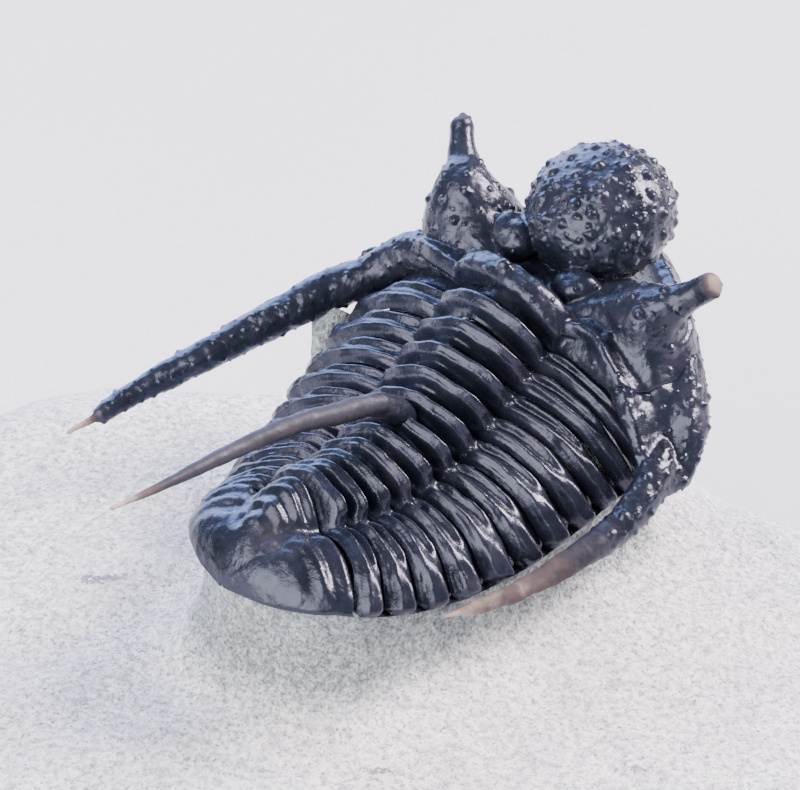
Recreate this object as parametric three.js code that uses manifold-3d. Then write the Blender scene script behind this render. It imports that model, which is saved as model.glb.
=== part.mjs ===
// A fossil of the trilobite Cyphaspis eberhardiei, prepared free of a domed block of pale limestone.
// Millimetres. +Z is up, +Y is towards the head, and +X is the animal's right side.
// The origin is under the middle of the block, on the flat sawn face that it rests on.
//
// The animal is described in its own curved frame. A midline runs from the neck to the tail, and each
// place on it has a station number: 0 is the neck ring, 1 to 11 are the body plates, 12 is the tail.
// At each station a small set of axes says which way is right, forward and up for the animal there.

import * as THREE from "three";
import { mergeVertices } from "three/addons/utils/BufferGeometryUtils.js";
import Module from "manifold-3d";

const wasm = await Module();
wasm.setup();

// Driving dimensions of the block
const BLOCK = { length: 40, width: 48, top: 11.8 };
const DOME_RISE = 1.8;
const DOME_CENTRE = [1, 5];
const BACK_DIP = 1.3;
const ANIMAL_PLACE = [-2.0, 5.2];

// Driving dimensions of the animal
const PLATES = 11;
const MIDDLE = 6;
const BODY_HEIGHT = 16.5;
const PLATE_PITCH = [0.986, -0.124];
const LEAN = [11.2, -28.4, -15.2, 5.8];
const TURN = [0, -8.4, -11.5, 7.7];
const AXIS_WIDTH = [1.83, -0.36, -0.15];
const AXIS_RISE = 0.74;
const AXIS_SPREAD = 1.1;
const AXIS_BELL = 1.4;
const TIP_OUT = [5.44, -1.16, -0.17];
const TIP_DOWN = [1.97, -0.77, 0.46];
const SWEEP = 0.55;
const LEFT_PULL = 0.2;
const SHELL = 0.24;
const CLEARANCE = 0.05;
const NECK_GAP = 0.3;
const AXIS_SHARE = 0.4;
const FLANK_BEND = 1.4;

const UP = new THREE.Vector3(0, 0, 1);

const radians = THREE.MathUtils.degToRad;
const poly = (terms, t) => terms.reduceRight((sum, term) => sum * t + term, 0);
const along = (station) => (station - MIDDLE) / MIDDLE;
const rampUp = (value, low, high) => THREE.MathUtils.smoothstep(value, low, high);
const bell = (value, middle, width) => Math.exp(-(((value - middle) / width) ** 2));
const spread = (count, from = 0, to = 1) =>
  Array.from({ length: count }, (_, i) => from + ((to - from) * i) / (count - 1));

// The axes of the animal at a station, as a rotation matrix.
function axesAt(station) {
  const t = along(station);
  const turn = new THREE.Matrix4().makeRotationZ(radians(poly(TURN, t)));
  const lean = new THREE.Matrix4().makeRotationX(radians(poly(LEAN, t)));
  return turn.multiply(lean);
}

// The midline, found by walking along it in small steps from the middle plate both ways.
function placeOnMidline(station) {
  const steps = 40;
  const place = new THREE.Vector3(ANIMAL_PLACE[0], ANIMAL_PLACE[1], BODY_HEIGHT);
  const step = (station - MIDDLE) / steps;
  for (let i = 0; i < steps; i++) {
    const here = MIDDLE + (i + 0.5) * step;
    const forward = new THREE.Vector3(0, 1, 0).applyMatrix4(axesAt(here));
    place.addScaledVector(forward, -step * poly(PLATE_PITCH, along(here)));
  }
  return place;
}

function frameAt(station) {
  return axesAt(station).setPosition(placeOnMidline(station));
}

// A waypoint given from the middle plate's place on the midline.
const fromMiddle = ([x, y, z]) => new THREE.Vector3(x + ANIMAL_PLACE[0], y + ANIMAL_PLACE[1], z + BODY_HEIGHT);

// Solids from loops of points. Each loop has the same number of points, and runs the same way round.
function loft(loops) {
  const count = loops[0].length;
  const points = loops.flat();
  const faces = [];
  for (let i = 0; i + 1 < loops.length; i++) {
    for (let j = 0; j < count; j++) {
      const a = i * count + j;
      const b = i * count + ((j + 1) % count);
      faces.push(a, b, b + count, a, b + count, a + count);
    }
  }
  for (const [first, flip] of [[0, true], [(loops.length - 1) * count, false]]) {
    const middle = new THREE.Vector3();
    for (let j = 0; j < count; j++) middle.addScaledVector(points[first + j], 1 / count);
    points.push(middle);
    for (let j = 0; j < count; j++) {
      const a = first + j;
      const b = first + ((j + 1) % count);
      faces.push(...(flip ? [b, a, points.length - 1] : [a, b, points.length - 1]));
    }
  }
  const geometry = new THREE.BufferGeometry().setFromPoints(points);
  geometry.setIndex(faces);
  return geometry;
}

function solidOf(geometry) {
  geometry.deleteAttribute("normal");
  geometry.deleteAttribute("uv");
  const merged = mergeVertices(geometry, 1e-4);
  const build = (triVerts) =>
    new wasm.Manifold(
      new wasm.Mesh({ numProp: 3, vertProperties: merged.attributes.position.array, triVerts }),
    );
  const triVerts = new Uint32Array(merged.index.array);
  const made = build(triVerts);
  return made.volume() > 0 ? made : build(triVerts.reverse());
}

function join(solids) {
  return solids.reduce((sum, solid) => sum.add(solid));
}

function meshOf(name, solid, material) {
  const { numProp, numVert, vertProperties, triVerts } = solid.getMesh();
  const places = new Float32Array(numVert * 3);
  for (let i = 0; i < numVert; i++) {
    places.set(vertProperties.subarray(i * numProp, i * numProp + 3), i * 3);
  }
  const geometry = new THREE.BufferGeometry();
  geometry.setAttribute("position", new THREE.BufferAttribute(places, 3));
  geometry.setIndex(new THREE.BufferAttribute(triVerts, 1));
  geometry.computeVertexNormals();
  const mesh = new THREE.Mesh(geometry, material);
  mesh.name = name;
  return mesh;
}

// A round tube along a smooth route, with a radius for each waypoint.
function taperedTube(waypoints, radii, rings, sides) {
  const route = new THREE.CatmullRomCurve3(waypoints, false, "centripetal");
  const radiusAt = (u) => {
    const place = u * (radii.length - 1);
    const low = Math.min(Math.floor(place), radii.length - 2);
    return THREE.MathUtils.lerp(radii[low], radii[low + 1], place - low);
  };
  const loops = spread(rings).map((u) => {
    const centre = route.getPoint(u);
    const ahead = route.getTangent(u);
    const side = new THREE.Vector3().crossVectors(ahead, UP).normalize();
    const top = new THREE.Vector3().crossVectors(side, ahead);
    return spread(sides + 1, 0, 2 * Math.PI)
      .slice(0, sides)
      .map((turn) =>
        centre
          .clone()
          .addScaledVector(side, radiusAt(u) * Math.cos(turn))
          .addScaledVector(top, radiusAt(u) * Math.sin(turn)),
      );
  });
  return solidOf(loft(loops));
}

// A low pointed wart with four sides, standing on a surface. Its foot is as far under it as its tip is above.
function wart(foot, outward, radius, height) {
  const cone = new THREE.ConeGeometry(radius * 2, height * 2, 4, 1);
  const turn = new THREE.Quaternion().setFromUnitVectors(new THREE.Vector3(0, 1, 0), outward);
  return solidOf(cone.applyQuaternion(turn).translate(foot.x, foot.y, foot.z));
}

// Section across the body plates

// One point of the smooth section: q runs from -1 at the left tip over 0 on the ridge to 1 at the right.
// The ring is a bell, so it runs out level into the flank, which then bends down towards the tip.
function sectionCurve(station, q) {
  const t = along(station);
  const side = q < 0 ? -1 : 1;
  const share = Math.abs(q);
  const half = poly(AXIS_WIDTH, t) * AXIS_SPREAD;
  if (share <= AXIS_SHARE) {
    const part = share / AXIS_SHARE;
    const rise = AXIS_RISE * poly(AXIS_WIDTH, t);
    return new THREE.Vector3(side * half * part, 0, rise * Math.cos((part * Math.PI) / 2) ** AXIS_BELL);
  }
  const pull = side < 0 ? LEFT_PULL * rampUp(station, 7, 12) : 0;
  const out = poly(TIP_OUT, t) * (1 - pull);
  const down = poly(TIP_DOWN, t);
  const turn = ((share - AXIS_SHARE) / (1 - AXIS_SHARE)) * FLANK_BEND;
  const drop = (1 - Math.cos(turn) ** 1.2) / (1 - Math.cos(FLANK_BEND) ** 1.2);
  const reach = Math.sin(turn) / Math.sin(FLANK_BEND);
  return new THREE.Vector3(side * (half + (out - half) * reach), -SWEEP * reach * reach, -down * drop);
}

// The same, moved inwards by the inset, square to the surface.
function sectionPoint(station, q, inset = 0) {
  const step = 0.02;
  const slope = sectionCurve(station, q + step).sub(sectionCurve(station, q - step));
  const normal = new THREE.Vector3(-slope.z, 0, slope.x).normalize();
  return sectionCurve(station, q).addScaledVector(normal, -inset);
}

// Height of the relief on a plate: v runs from 0 at its front edge to 1 at its rear edge.
// The ring is one bold fold. The flank has two bands with a furrow between them.
const EDGE_ROWS = [0, 0.16, 0.36, 0.6, 0.88, 1];
const RING_RELIEF = [-0.1, 0.08, 0.26, 0.34, 0.26, 0.02];
const FLANK_RELIEF = [-0.05, 0.1, 0.0, 0.2, 0.2, 0.02];

function relief(q, row) {
  const share = Math.abs(q);
  if (share < AXIS_SHARE * 0.85) return RING_RELIEF[row];
  if (share < AXIS_SHARE * 1.2) return FLANK_RELIEF[row] * 0.25 - 0.04;
  return FLANK_RELIEF[row] * (1 - 0.35 * share * share);
}

const COLUMNS = [-1, -0.93, -0.8, -0.65, -0.5, -0.38, -0.28, -0.16, 0, 0.16, 0.28, 0.38, 0.5, 0.65, 0.8, 0.93, 1];

const plateName = (number) => `thoracic_segment_${String(number).padStart(2, "0")}`;

function bodyPlate(number) {
  const gap = CLEARANCE / poly(PLATE_PITCH, along(number));
  const from = number - 0.5 + (number === 1 ? NECK_GAP : gap / 2);
  const to = number + 0.5 - gap / 2;
  const place = (station, q, inset) => sectionPoint(station, q, inset).applyMatrix4(frameAt(station));
  const loops = COLUMNS.map((q) => {
    const top = EDGE_ROWS.map((v, row) => place(from + (to - from) * v, q, -relief(q, row)));
    const under = [place(to, q, SHELL), place(from, q, SHELL)];
    return [...top, ...under];
  });
  return solidOf(loft(loops));
}

// The axial spine of the sixth plate
const SPINE_PLATE = 6;
const SPINE_ROUTE = [
  [0, 0.1, 1.3], [0, -0.45, 1.75], [-0.08, -1.15, 2.3], [-0.15, -2.0, 2.7], [-0.3, -3.2, 3.05], [-0.5, -5.3, 3.75],
  [-0.8, -7.6, 4.1], [-1.1, -9.6, 4.3], [-1.35, -11.2, 4.45], [-1.6, -12.9, 4.7],
];
const SPINE_RADII = [0.3, 0.43, 0.4, 0.37, 0.36, 0.33, 0.28, 0.21, 0.13, 0.07];

function axialSpine() {
  const waypoints = SPINE_ROUTE.map(fromMiddle);
  return taperedTube(waypoints, SPINE_RADII, 13, 7);
}

// Tail shield: a quarter of an egg, with the last rings and ribs fading out on it.
const TAIL_STATION = 11.6;
const TAIL_LENGTH = 2.25;
const TAIL_DROP = 1.95;
const TAIL_LEAN = 14;
const TAIL_NARROW = 0.94;
const TAIL_AXIS_FALL = 0.75;

function tailPoint(q, turn, inset) {
  const lean = new THREE.Matrix4().makeRotationX(radians(TAIL_LEAN) * Math.sin(turn));
  const frame = frameAt(TAIL_STATION).multiply(lean);
  const section = sectionPoint(TAIL_STATION, q, inset);
  const ridge = Math.max(0, sectionCurve(TAIL_STATION, q).z);
  section.z -= TAIL_AXIS_FALL * ridge * rampUp(turn, 0.1, 1.1);
  const shrink = Math.cos(turn);
  const back = Math.sin(turn);
  const bottom = -TAIL_DROP;
  return new THREE.Vector3(
    section.x * shrink * THREE.MathUtils.lerp(1, TAIL_NARROW, Math.min(1, 4 * back)),
    section.y * shrink * shrink - SWEEP * back * back - (TAIL_LENGTH - inset) * back,
    bottom + (section.z - bottom) * Math.pow(shrink, 0.8) - inset * back * 0.6,
  ).applyMatrix4(frame);
}

function pygidium() {
  const rows = spread(8, 0, radians(88));
  const loops = COLUMNS.map((q) => {
    const top = rows.map((turn, row) => {
      const fade = Math.cos(turn);
      const fold = row % 2 === 1 ? 0.16 * fade : -0.03 * fade;
      return tailPoint(q, turn, Math.abs(q) < 0.95 ? -fold : 0);
    });
    const under = [rows.at(-1), ...[66, 45, 22].map(radians), rows[0]].map((turn) => tailPoint(q, turn, SHELL));
    return [...top, ...under];
  });
  return solidOf(loft(loops));
}

// Head shield

const HEAD_HALF = 7.8;
const HEAD_LENGTH = 6.6;
const HEAD_BACK = -0.7;
const HEAD_CREST = 0.3;
const HEAD_DROP = 3.0;
const HEAD_SHELL = 0.3;
const HEAD_ROWS = spread(9, HEAD_BACK + 0.22, 4.4);
const headFrame = frameAt(0);

const FORWARD_POWER = 1.5;
const ACROSS_POWER = 1.18;
const forwardShare = (y) => Math.pow(Math.max(0, (y - HEAD_BACK) / HEAD_LENGTH), FORWARD_POWER);
const outlineHalf = (y) => HEAD_HALF * Math.pow(Math.max(0, 1 - forwardShare(y)), 1 / ACROSS_POWER);

// How far out a place on the head shield is: 0 in the middle of its rear edge, 1 on its outline.
function outwardShare(x, y) {
  return Math.pow(Math.hypot(x, 0.4) / HEAD_HALF, ACROSS_POWER) + forwardShare(y);
}

const EYE = new THREE.Vector2(4.1, 2.2);
const EYE_RISE = 2.5;
const EYE_REACH = 1.75;

function headHeight(x, y) {
  const share = Math.min(1, outwardShare(x, y));
  const vault = HEAD_CREST - HEAD_DROP * Math.pow(share, 1.9);
  const rim = 0.25 * Math.exp(-(((share - 0.96) / 0.06) ** 2));
  const fromEye = Math.hypot(Math.abs(x) - EYE.x, y - EYE.y) / EYE_REACH;
  const mound = EYE_RISE * Math.exp(-Math.pow(fromEye, 2.1));
  const rearRim = 0.28 * Math.exp(-(((y - HEAD_BACK - 0.45) / 0.32) ** 2));
  return vault + mound + rim + rearRim;
}

// The line where the free cheek parts from the middle of the head, at a place along the head.
function sutureHalf(y) {
  const swell = 5.5 - 0.16 * (y - 1.6) ** 2;
  return Math.min(swell, outlineHalf(y) - 0.02);
}

// How far the head's rear edge lies ahead of a straight line, for the right side and the left.
function rearShift(x, y) {
  const side = Math.abs(x);
  const corner = x > 0 ? { place: 4.7, slope: 0.64 } : { place: 7.2, slope: 1.0 };
  const past = (Math.hypot(side - corner.place, 0.4) + side - corner.place) / 2;
  const swell = x > 0 ? 0.5 * bell(side, 3.1, 1.1) : 0.42 * bell(side, 5.6, 2.0);
  return (swell - corner.slope * past) * (1 - rampUp(y, HEAD_BACK, 3.2));
}

const headPoint = (x, y, z) => new THREE.Vector3(x, y, z).applyMatrix4(headFrame);

// A place on the head shield. The right cheek bulges outwards at the middle of its length.
const CHEEK_SWELL = 0.6;

function shieldPoint(x, y, lift) {
  const swell = CHEEK_SWELL * bell(y, 1.4, 1.3) * rampUp(x, 4, 7);
  return headPoint(x + swell, y + rearShift(x, y), headHeight(x, y) + lift);
}

function cranidiumPlate() {
  const rows = [...HEAD_ROWS, 5.1, 5.7];
  const across = [-1, -0.9, -0.76, -0.62, -0.4, 0, 0.4, 0.62, 0.76, 0.9, 1];
  const loops = rows.map((y) => {
    const half = sutureHalf(y) - CLEARANCE / 2;
    const top = across.map((u) => shieldPoint(u * half, y, 0));
    const under = [1, 0.76, 0.4, -0.4, -0.76, -1].map((u) => shieldPoint(u * half, y, -HEAD_SHELL));
    return [...top, ...under];
  });
  return solidOf(loft(loops));
}

// Glabella: the warty globe in front of the neck ring
const GLABELLA = { centre: [0, 4.16, 0.62], radii: [2.42, 2.42, 2.02] };
const WARTS = 40;
const WART_RADIUS = 0.27;
const WART_HEIGHT = 0.2;
const GOLDEN_TURN = Math.PI * (3 - Math.sqrt(5));

function glabella() {
  const [rx, ry, rz] = GLABELLA.radii;
  const centre = new THREE.Vector3(...GLABELLA.centre);
  const globe = new THREE.IcosahedronGeometry(1, 3).scale(rx, ry, rz);
  const parts = [solidOf(globe.translate(centre.x, centre.y, centre.z).applyMatrix4(headFrame))];
  const turn = new THREE.Matrix4().extractRotation(headFrame);
  for (let i = 0; i < WARTS; i++) {
    const z = 1 - (1.62 * (i + 0.5)) / WARTS;
    const ring = Math.sqrt(1 - z * z);
    const angle = i * GOLDEN_TURN + 0.25 * Math.sin(i * 2.3);
    const way = new THREE.Vector3(ring * Math.cos(angle), ring * Math.sin(angle), z);
    const foot = new THREE.Vector3(way.x * rx, way.y * ry, way.z * rz).multiplyScalar(0.985).add(centre);
    const outward = new THREE.Vector3(way.x / rx, way.y / ry, way.z / rz).normalize().applyMatrix4(turn);
    const size = 0.85 + 0.25 * Math.sin(i * 1.7);
    parts.push(wart(foot.applyMatrix4(headFrame), outward, WART_RADIUS * size, WART_HEIGHT * size));
  }
  return join(parts);
}

// Neck ring, with the small knob on its ridge
const NECK = { half: 2.4, rise: 1.75, front: 0.62, back: -0.42, knob: [0, 0.12, 1.98] };

function neckRing() {
  const loops = spread(11, -1, 1).map((u) => {
    const turn = u * (Math.PI / 2) * 0.98;
    const x = NECK.half * Math.sin(turn);
    const z = NECK.rise * Math.pow(Math.cos(turn), 0.9) + 0.05;
    const section = [[NECK.front, -0.9], [NECK.front - 0.08, -0.12], [0.25, 0.14], [-0.2, 0.12]];
    section.push([NECK.back + 0.02, -0.1], [NECK.back, -0.9]);
    return section.map(([y, lift]) => headPoint(x, y, z + lift));
  });
  const knob = new THREE.IcosahedronGeometry(0.24, 1).translate(...NECK.knob).applyMatrix4(headFrame);
  return join([solidOf(loft(loops)), solidOf(knob)]);
}

// The two small lobes behind the globe
const RIGHT_LOBE = { centre: [1.35, 1.55, 0.3], radii: [0.82, 0.7, 0.66] };
const LEFT_LOBE = { centre: [-1.5, 1.85, 0.62], radii: [0.92, 0.85, 0.85] };

function rearLobe({ centre, radii }) {
  const lobe = new THREE.IcosahedronGeometry(1, 1).scale(...radii).translate(...centre);
  return solidOf(lobe.applyMatrix4(headFrame));
}

// Horns: one above each eye mound, leaning outwards and forwards, with a rounded tip
const RIGHT_HORN = [
  [4.1, 2.0, -0.2], [4.4, 2.25, 0.4], [4.75, 2.5, 0.72], [5.15, 2.85, 0.98], [5.6, 3.25, 1.3], [5.95, 3.5, 1.58],
  [6.12, 3.62, 1.72],
];
const RIGHT_HORN_RADII = [0.9, 0.74, 0.5, 0.39, 0.43, 0.42, 0.22];
const LEFT_HORN = [
  [-4.1, 2.0, -0.2], [-4.4, 2.3, 0.5], [-4.62, 2.55, 0.82], [-5.0, 2.95, 1.05], [-5.5, 3.5, 1.4], [-5.8, 3.82, 1.58],
  [-5.93, 3.96, 1.66],
];
const LEFT_HORN_RADII = [0.9, 0.74, 0.48, 0.36, 0.41, 0.38, 0.2];

const horn = (waypoints, radii) => taperedTube(waypoints.map((place) => headPoint(...place)), radii, 10, 7);

// Warts on the eye mounds and cheeks, placed by hand on the right side and mirrored
const CHEEK_WARTS = [[3.2, 2.9], [3.7, 1.2], [4.9, 1.5], [5.0, 2.9], [3.0, 2.0], [4.2, 3.3]];
const OUTER_WARTS = [[5.9, 0.8], [5.8, 1.7], [6.7, 0.3], [6.3, 1.2]];

function surfaceWarts(places, side) {
  const turn = new THREE.Matrix4().extractRotation(headFrame);
  return places.map(([x, y], i) => {
    const step = 0.05;
    const slopeX = (headHeight(x + step, y) - headHeight(x - step, y)) / (2 * step);
    const slopeY = (headHeight(x, y + step) - headHeight(x, y - step)) / (2 * step);
    const outward = new THREE.Vector3(-side * slopeX, -slopeY, 1).normalize().applyMatrix4(turn);
    const size = 0.8 + 0.2 * Math.sin(i * 2.1);
    const foot = shieldPoint(side * x, y, -0.03);
    return wart(foot, outward, WART_RADIUS * size, WART_HEIGHT * size);
  });
}

function cranidium() {
  const sides = [1, -1];
  return join([
    cranidiumPlate(),
    glabella(),
    neckRing(),
    rearLobe(RIGHT_LOBE),
    rearLobe(LEFT_LOBE),
    horn(RIGHT_HORN, RIGHT_HORN_RADII),
    horn(LEFT_HORN, LEFT_HORN_RADII),
    ...sides.flatMap((side) => surfaceWarts(CHEEK_WARTS, side)),
  ]);
}

// Free cheeks, each with its long spine
const RIGHT_SPINE = [
  [6.25, 5.3, 0.1], [6.8, 4.2, -0.4], [7.02, 3.4, -0.75], [7.05, 2.5, -1.1], [6.75, 1.15, -1.5],
  [6.05, -0.7, -2.0], [5.15, -2.5, -2.3], [4.32, -3.85, -2.42],
];
const RIGHT_RADII = [0.68, 0.64, 0.6, 0.55, 0.47, 0.37, 0.26, 0.1];
const LEFT_SPINE = [
  [-6.0, 7.0, 0.3], [-7.1, 5.82, -0.28], [-7.87, 4.59, -0.74], [-8.79, 3.17, -1.27], [-9.45, 1.93, -1.72],
  [-10.32, 0.72, -2.23], [-11.02, -0.56, -2.75], [-11.3, -1.27, -2.95], [-11.78, -2.25, -3.25],
];
const LEFT_RADII = [0.7, 0.68, 0.62, 0.56, 0.51, 0.45, 0.37, 0.24, 0.06];

function freeCheek(side, route, radii) {
  const rows = HEAD_ROWS.slice(0, 7);
  const loops = rows.map((y) => {
    const inner = sutureHalf(y) + CLEARANCE / 2;
    const outer = Math.max(outlineHalf(y), inner + 0.08);
    const across = [0, 0.3, 0.55, 0.78, 0.92, 1].map((u) => inner + (outer - inner) * u);
    const top = across.map((x) => shieldPoint(side * x, y, 0));
    const under = [outer - 0.12, inner].map((x) => shieldPoint(side * x, y, -HEAD_SHELL));
    return [...top, ...under];
  });
  const waypoints = route.map(fromMiddle);
  return join([
    solidOf(loft(loops)),
    taperedTube(waypoints, radii, 12, 7),
    ...surfaceWarts(OUTER_WARTS, side),
  ]);
}

// Limestone

// A quiet unevenness of rock, from a few waves that never line up.
function rockLumps(x, y) {
  return (
    0.16 * Math.sin(0.55 * x + 1.3) * Math.cos(0.47 * y) +
    0.09 * Math.sin(1.15 * x - 0.8 * y + 0.6) +
    0.05 * Math.sin(2.3 * y + 0.9 * x)
  );
}

// The dome dips at the back on the left, behind the head, and stays up again at the far left.
function domeHeight(x, y) {
  const away = Math.hypot((x - DOME_CENTRE[0]) / BLOCK.width, (y - DOME_CENTRE[1]) / BLOCK.length);
  const dip = BACK_DIP * rampUp(y, 6, 15) * rampUp(x, -24, -14) * (1 - rampUp(x, -8, 4));
  return BLOCK.top - DOME_RISE * 4 * away * away - dip + rockLumps(x, y);
}

function rockBlock() {
  const around = spread(27, 0, 2 * Math.PI).slice(0, 26);
  const levels = [[0.93, 0], [0.99, 0.15], [1, 0.42], [0.98, 0.66], [0.94, 0.83], [0.87, 0.945], [0.77, 0.99]];
  levels.push([0.58, 1], [0.36, 1], [0.14, 1]);
  const loops = levels.map(([reach, level]) =>
    around.map((turn) => {
      const lobes = 1 + 0.035 * Math.sin(2 * turn + 0.7) + 0.025 * Math.sin(3 * turn - 0.4);
      const round = Math.pow(Math.cos(turn) ** 4 + Math.sin(turn) ** 4, -0.13);
      const x = (BLOCK.width / 2) * reach * lobes * round * 0.93 * Math.cos(turn);
      const y = (BLOCK.length / 2) * reach * lobes * round * 0.93 * Math.sin(turn);
      return new THREE.Vector3(x, y, level * domeHeight(x, y));
    }),
  );
  return solidOf(loft(loops));
}

const FILL_GAP = 0.14;
const HEAD_ROCK = 0.56;
const HEAD_ROCK_DEPTH = 0.85;

// The rim of the rock under the animal: round the body plates' tips, the tail shield and the head shield.
function rockRim() {
  const inset = SHELL + FILL_GAP;
  const rim = [];
  const tips = (stations, q) =>
    stations.forEach((station) => rim.push(sectionPoint(station, q, inset).applyMatrix4(frameAt(station))));
  const stations = spread(6, 1.2, 11.2);
  tips(stations, 0.93);
  for (const turn of spread(6, -60, 60)) {
    const q = -0.9 * Math.sin(radians(turn));
    rim.push(tailPoint(q, radians(72 * Math.cos(radians(turn))), inset));
  }
  tips(stations.reverse(), -0.93);
  const head = spread(5, 0, 5);
  const depth = HEAD_CREST - HEAD_DROP;
  head.forEach((y) => rim.push(headPoint(-HEAD_ROCK * outlineHalf(y), y, depth)));
  head.reverse().forEach((y) => rim.push(headPoint(HEAD_ROCK * outlineHalf(y), y, depth)));
  return rim;
}

// The pedestal that the preparator left: steep under the rim, then running out onto the dome.
const WALL = [[-0.1, 0.02], [0.1, 0.3], [0.2, 0.62], [0.5, 0.88], [1.1, 1.02], [1.1, 1.4]];

function pedestal() {
  const rim = rockRim();
  const centre = rim.reduce((sum, place) => sum.add(place), new THREE.Vector3()).divideScalar(rim.length);
  const loops = WALL.map(([out, down]) =>
    rim.map((place) => {
      const away = new THREE.Vector3(place.x - centre.x, place.y - centre.y, 0).normalize();
      const fall = place.z - domeHeight(place.x, place.y);
      const lump = 0.08 * Math.sin(3.1 * place.x + 2.3 * place.y) * Math.sin(Math.PI * Math.min(1, down));
      return new THREE.Vector3(place.x, place.y, place.z - fall * down).addScaledVector(away, out + lump);
    }),
  );
  return solidOf(loft(loops));
}

// The rock that fills the shell of the body, seen where plates part and under their tips.
function bodyFill() {
  const across = [-0.93, -0.78, -0.6, -0.4, -0.2, 0, 0.2, 0.4, 0.6, 0.78, 0.93];
  const loops = spread(7, 0.6, 11.4).map((station) => {
    const top = across.map((q) => sectionPoint(station, q, SHELL + FILL_GAP).applyMatrix4(frameAt(station)));
    const deep = [top.at(-1), top[0]].map((rim) => new THREE.Vector3(rim.x, rim.y, BLOCK.top - 1));
    return [...top, ...deep];
  });
  return solidOf(loft(loops));
}

// The same under the tail shield and under the head shield.
function tailFill() {
  const loops = spread(5, 0, radians(70)).map((turn) => {
    const top = spread(9, -0.93, 0.93).map((q) => tailPoint(q, turn, SHELL + 2 * FILL_GAP));
    const deep = [top.at(-1), top[0]].map((rim) => new THREE.Vector3(rim.x, rim.y, BLOCK.top - 1));
    return [...top, ...deep];
  });
  return solidOf(loft(loops));
}

function headFill() {
  const loops = spread(5, HEAD_BACK, 3.6).map((y) => {
    const half = outlineHalf(y) * HEAD_ROCK;
    const top = spread(7, -half, half).map((x) => headPoint(x, y, Math.min(headHeight(x, y), 0) - HEAD_ROCK_DEPTH));
    const deep = [top.at(-1), top[0]].map((rim) => new THREE.Vector3(rim.x, rim.y, BLOCK.top - 1));
    return [...top, ...deep];
  });
  return solidOf(loft(loops));
}

// The thin web of rock left between the left cheek spine and the body.
function rockWeb() {
  const route = [[-7.0, 5.65, -1.38], [-6.9, 5.1, -1.75], [-6.5, 4.6, -2.2], [-5.7, 4.0, -2.8]];
  const waypoints = route.map(fromMiddle);
  return taperedTube(waypoints, [0.35, 0.45, 0.6, 0.8], 4, 6);
}

function matrix() {
  return join([rockBlock(), pedestal(), bodyFill(), tailFill(), headFill(), rockWeb()]);
}

// Materials
const limestone = new THREE.MeshStandardMaterial({ color: "#c9c7c1", roughness: 0.95, metalness: 0 });
const cuticle = new THREE.MeshStandardMaterial({ color: "#1b1c22", roughness: 0.28, metalness: 0 });

const pieces = [
  ["cranidium", cranidium, cuticle],
  ["right_free_cheek", () => freeCheek(1, RIGHT_SPINE, RIGHT_RADII), cuticle],
  ["left_free_cheek", () => freeCheek(-1, LEFT_SPINE, LEFT_RADII), cuticle],
  [plateName(SPINE_PLATE), () => join([bodyPlate(SPINE_PLATE), axialSpine()]), cuticle],
  ["pygidium", pygidium, cuticle],
];
for (let number = 1; number <= PLATES; number++) {
  if (number !== SPINE_PLATE) pieces.push([plateName(number), () => bodyPlate(number), cuticle]);
}
pieces.push(["matrix", matrix, limestone]);

const part = new THREE.Group();
part.name = "trilobite_fossil";
for (const [name, make, material] of pieces) part.add(meshOf(name, make(), material));

export default part;
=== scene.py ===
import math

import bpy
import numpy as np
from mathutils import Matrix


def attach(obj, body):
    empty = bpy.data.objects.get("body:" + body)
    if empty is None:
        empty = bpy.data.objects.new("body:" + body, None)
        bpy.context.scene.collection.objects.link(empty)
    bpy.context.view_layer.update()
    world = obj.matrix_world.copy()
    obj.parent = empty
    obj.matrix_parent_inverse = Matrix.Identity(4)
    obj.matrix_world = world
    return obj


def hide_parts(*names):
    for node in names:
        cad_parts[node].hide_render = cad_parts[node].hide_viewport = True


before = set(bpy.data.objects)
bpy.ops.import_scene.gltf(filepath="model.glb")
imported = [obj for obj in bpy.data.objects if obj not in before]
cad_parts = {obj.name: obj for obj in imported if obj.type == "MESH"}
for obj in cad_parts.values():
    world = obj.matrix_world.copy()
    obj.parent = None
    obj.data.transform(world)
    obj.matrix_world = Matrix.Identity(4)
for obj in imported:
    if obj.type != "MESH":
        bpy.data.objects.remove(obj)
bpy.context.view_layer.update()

# %% [markdown]
# # A fossil trilobite on its limestone
# The real object is a black, glossy fossil of a spiny trilobite, about 19 mm long, standing on a
# pedestal in a block of pale limestone. In this lesson each hard plate of the animal and the rock are
# computed as surfaces with numpy, and shaded with procedural materials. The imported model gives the
# frame: everything here is placed in the same coordinates, so nothing has to be fitted afterwards.
#
# First come the helpers that every later step uses. Lengths are thought of in millimetres, as on the
# bench, and turned into Blender's metres only when a mesh is made.

MM = 0.001


def poly(terms, t):
    """A polynomial: the first term, plus the second times t, plus the third times t squared, and so on."""
    return sum(term * t**power for power, term in enumerate(terms))


def smooth_step(low, high, value):
    """0 below low, 1 above high, and 3w^2 - 2w^3 between, where w is how far the value has come."""
    way = np.clip((value - low) / (high - low), 0, 1)
    return way * way * (3 - 2 * way)


def soft_profile(stops, heights, value):
    """Height of a profile that is level at each stop and runs as a smooth step between two stops."""
    stops, heights = np.array(stops), np.array(heights)
    low = np.clip(np.searchsorted(stops, value) - 1, 0, len(stops) - 2)
    way = np.clip((value - stops[low]) / (stops[low + 1] - stops[low]), 0, 1)
    return heights[low] + (heights[low + 1] - heights[low]) * way * way * (3 - 2 * way)


def bell(value, middle, width):
    """A bell: e to the minus of the squared distance from the middle, counted in widths."""
    return np.exp(-(((value - middle) / width) ** 2))


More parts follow.
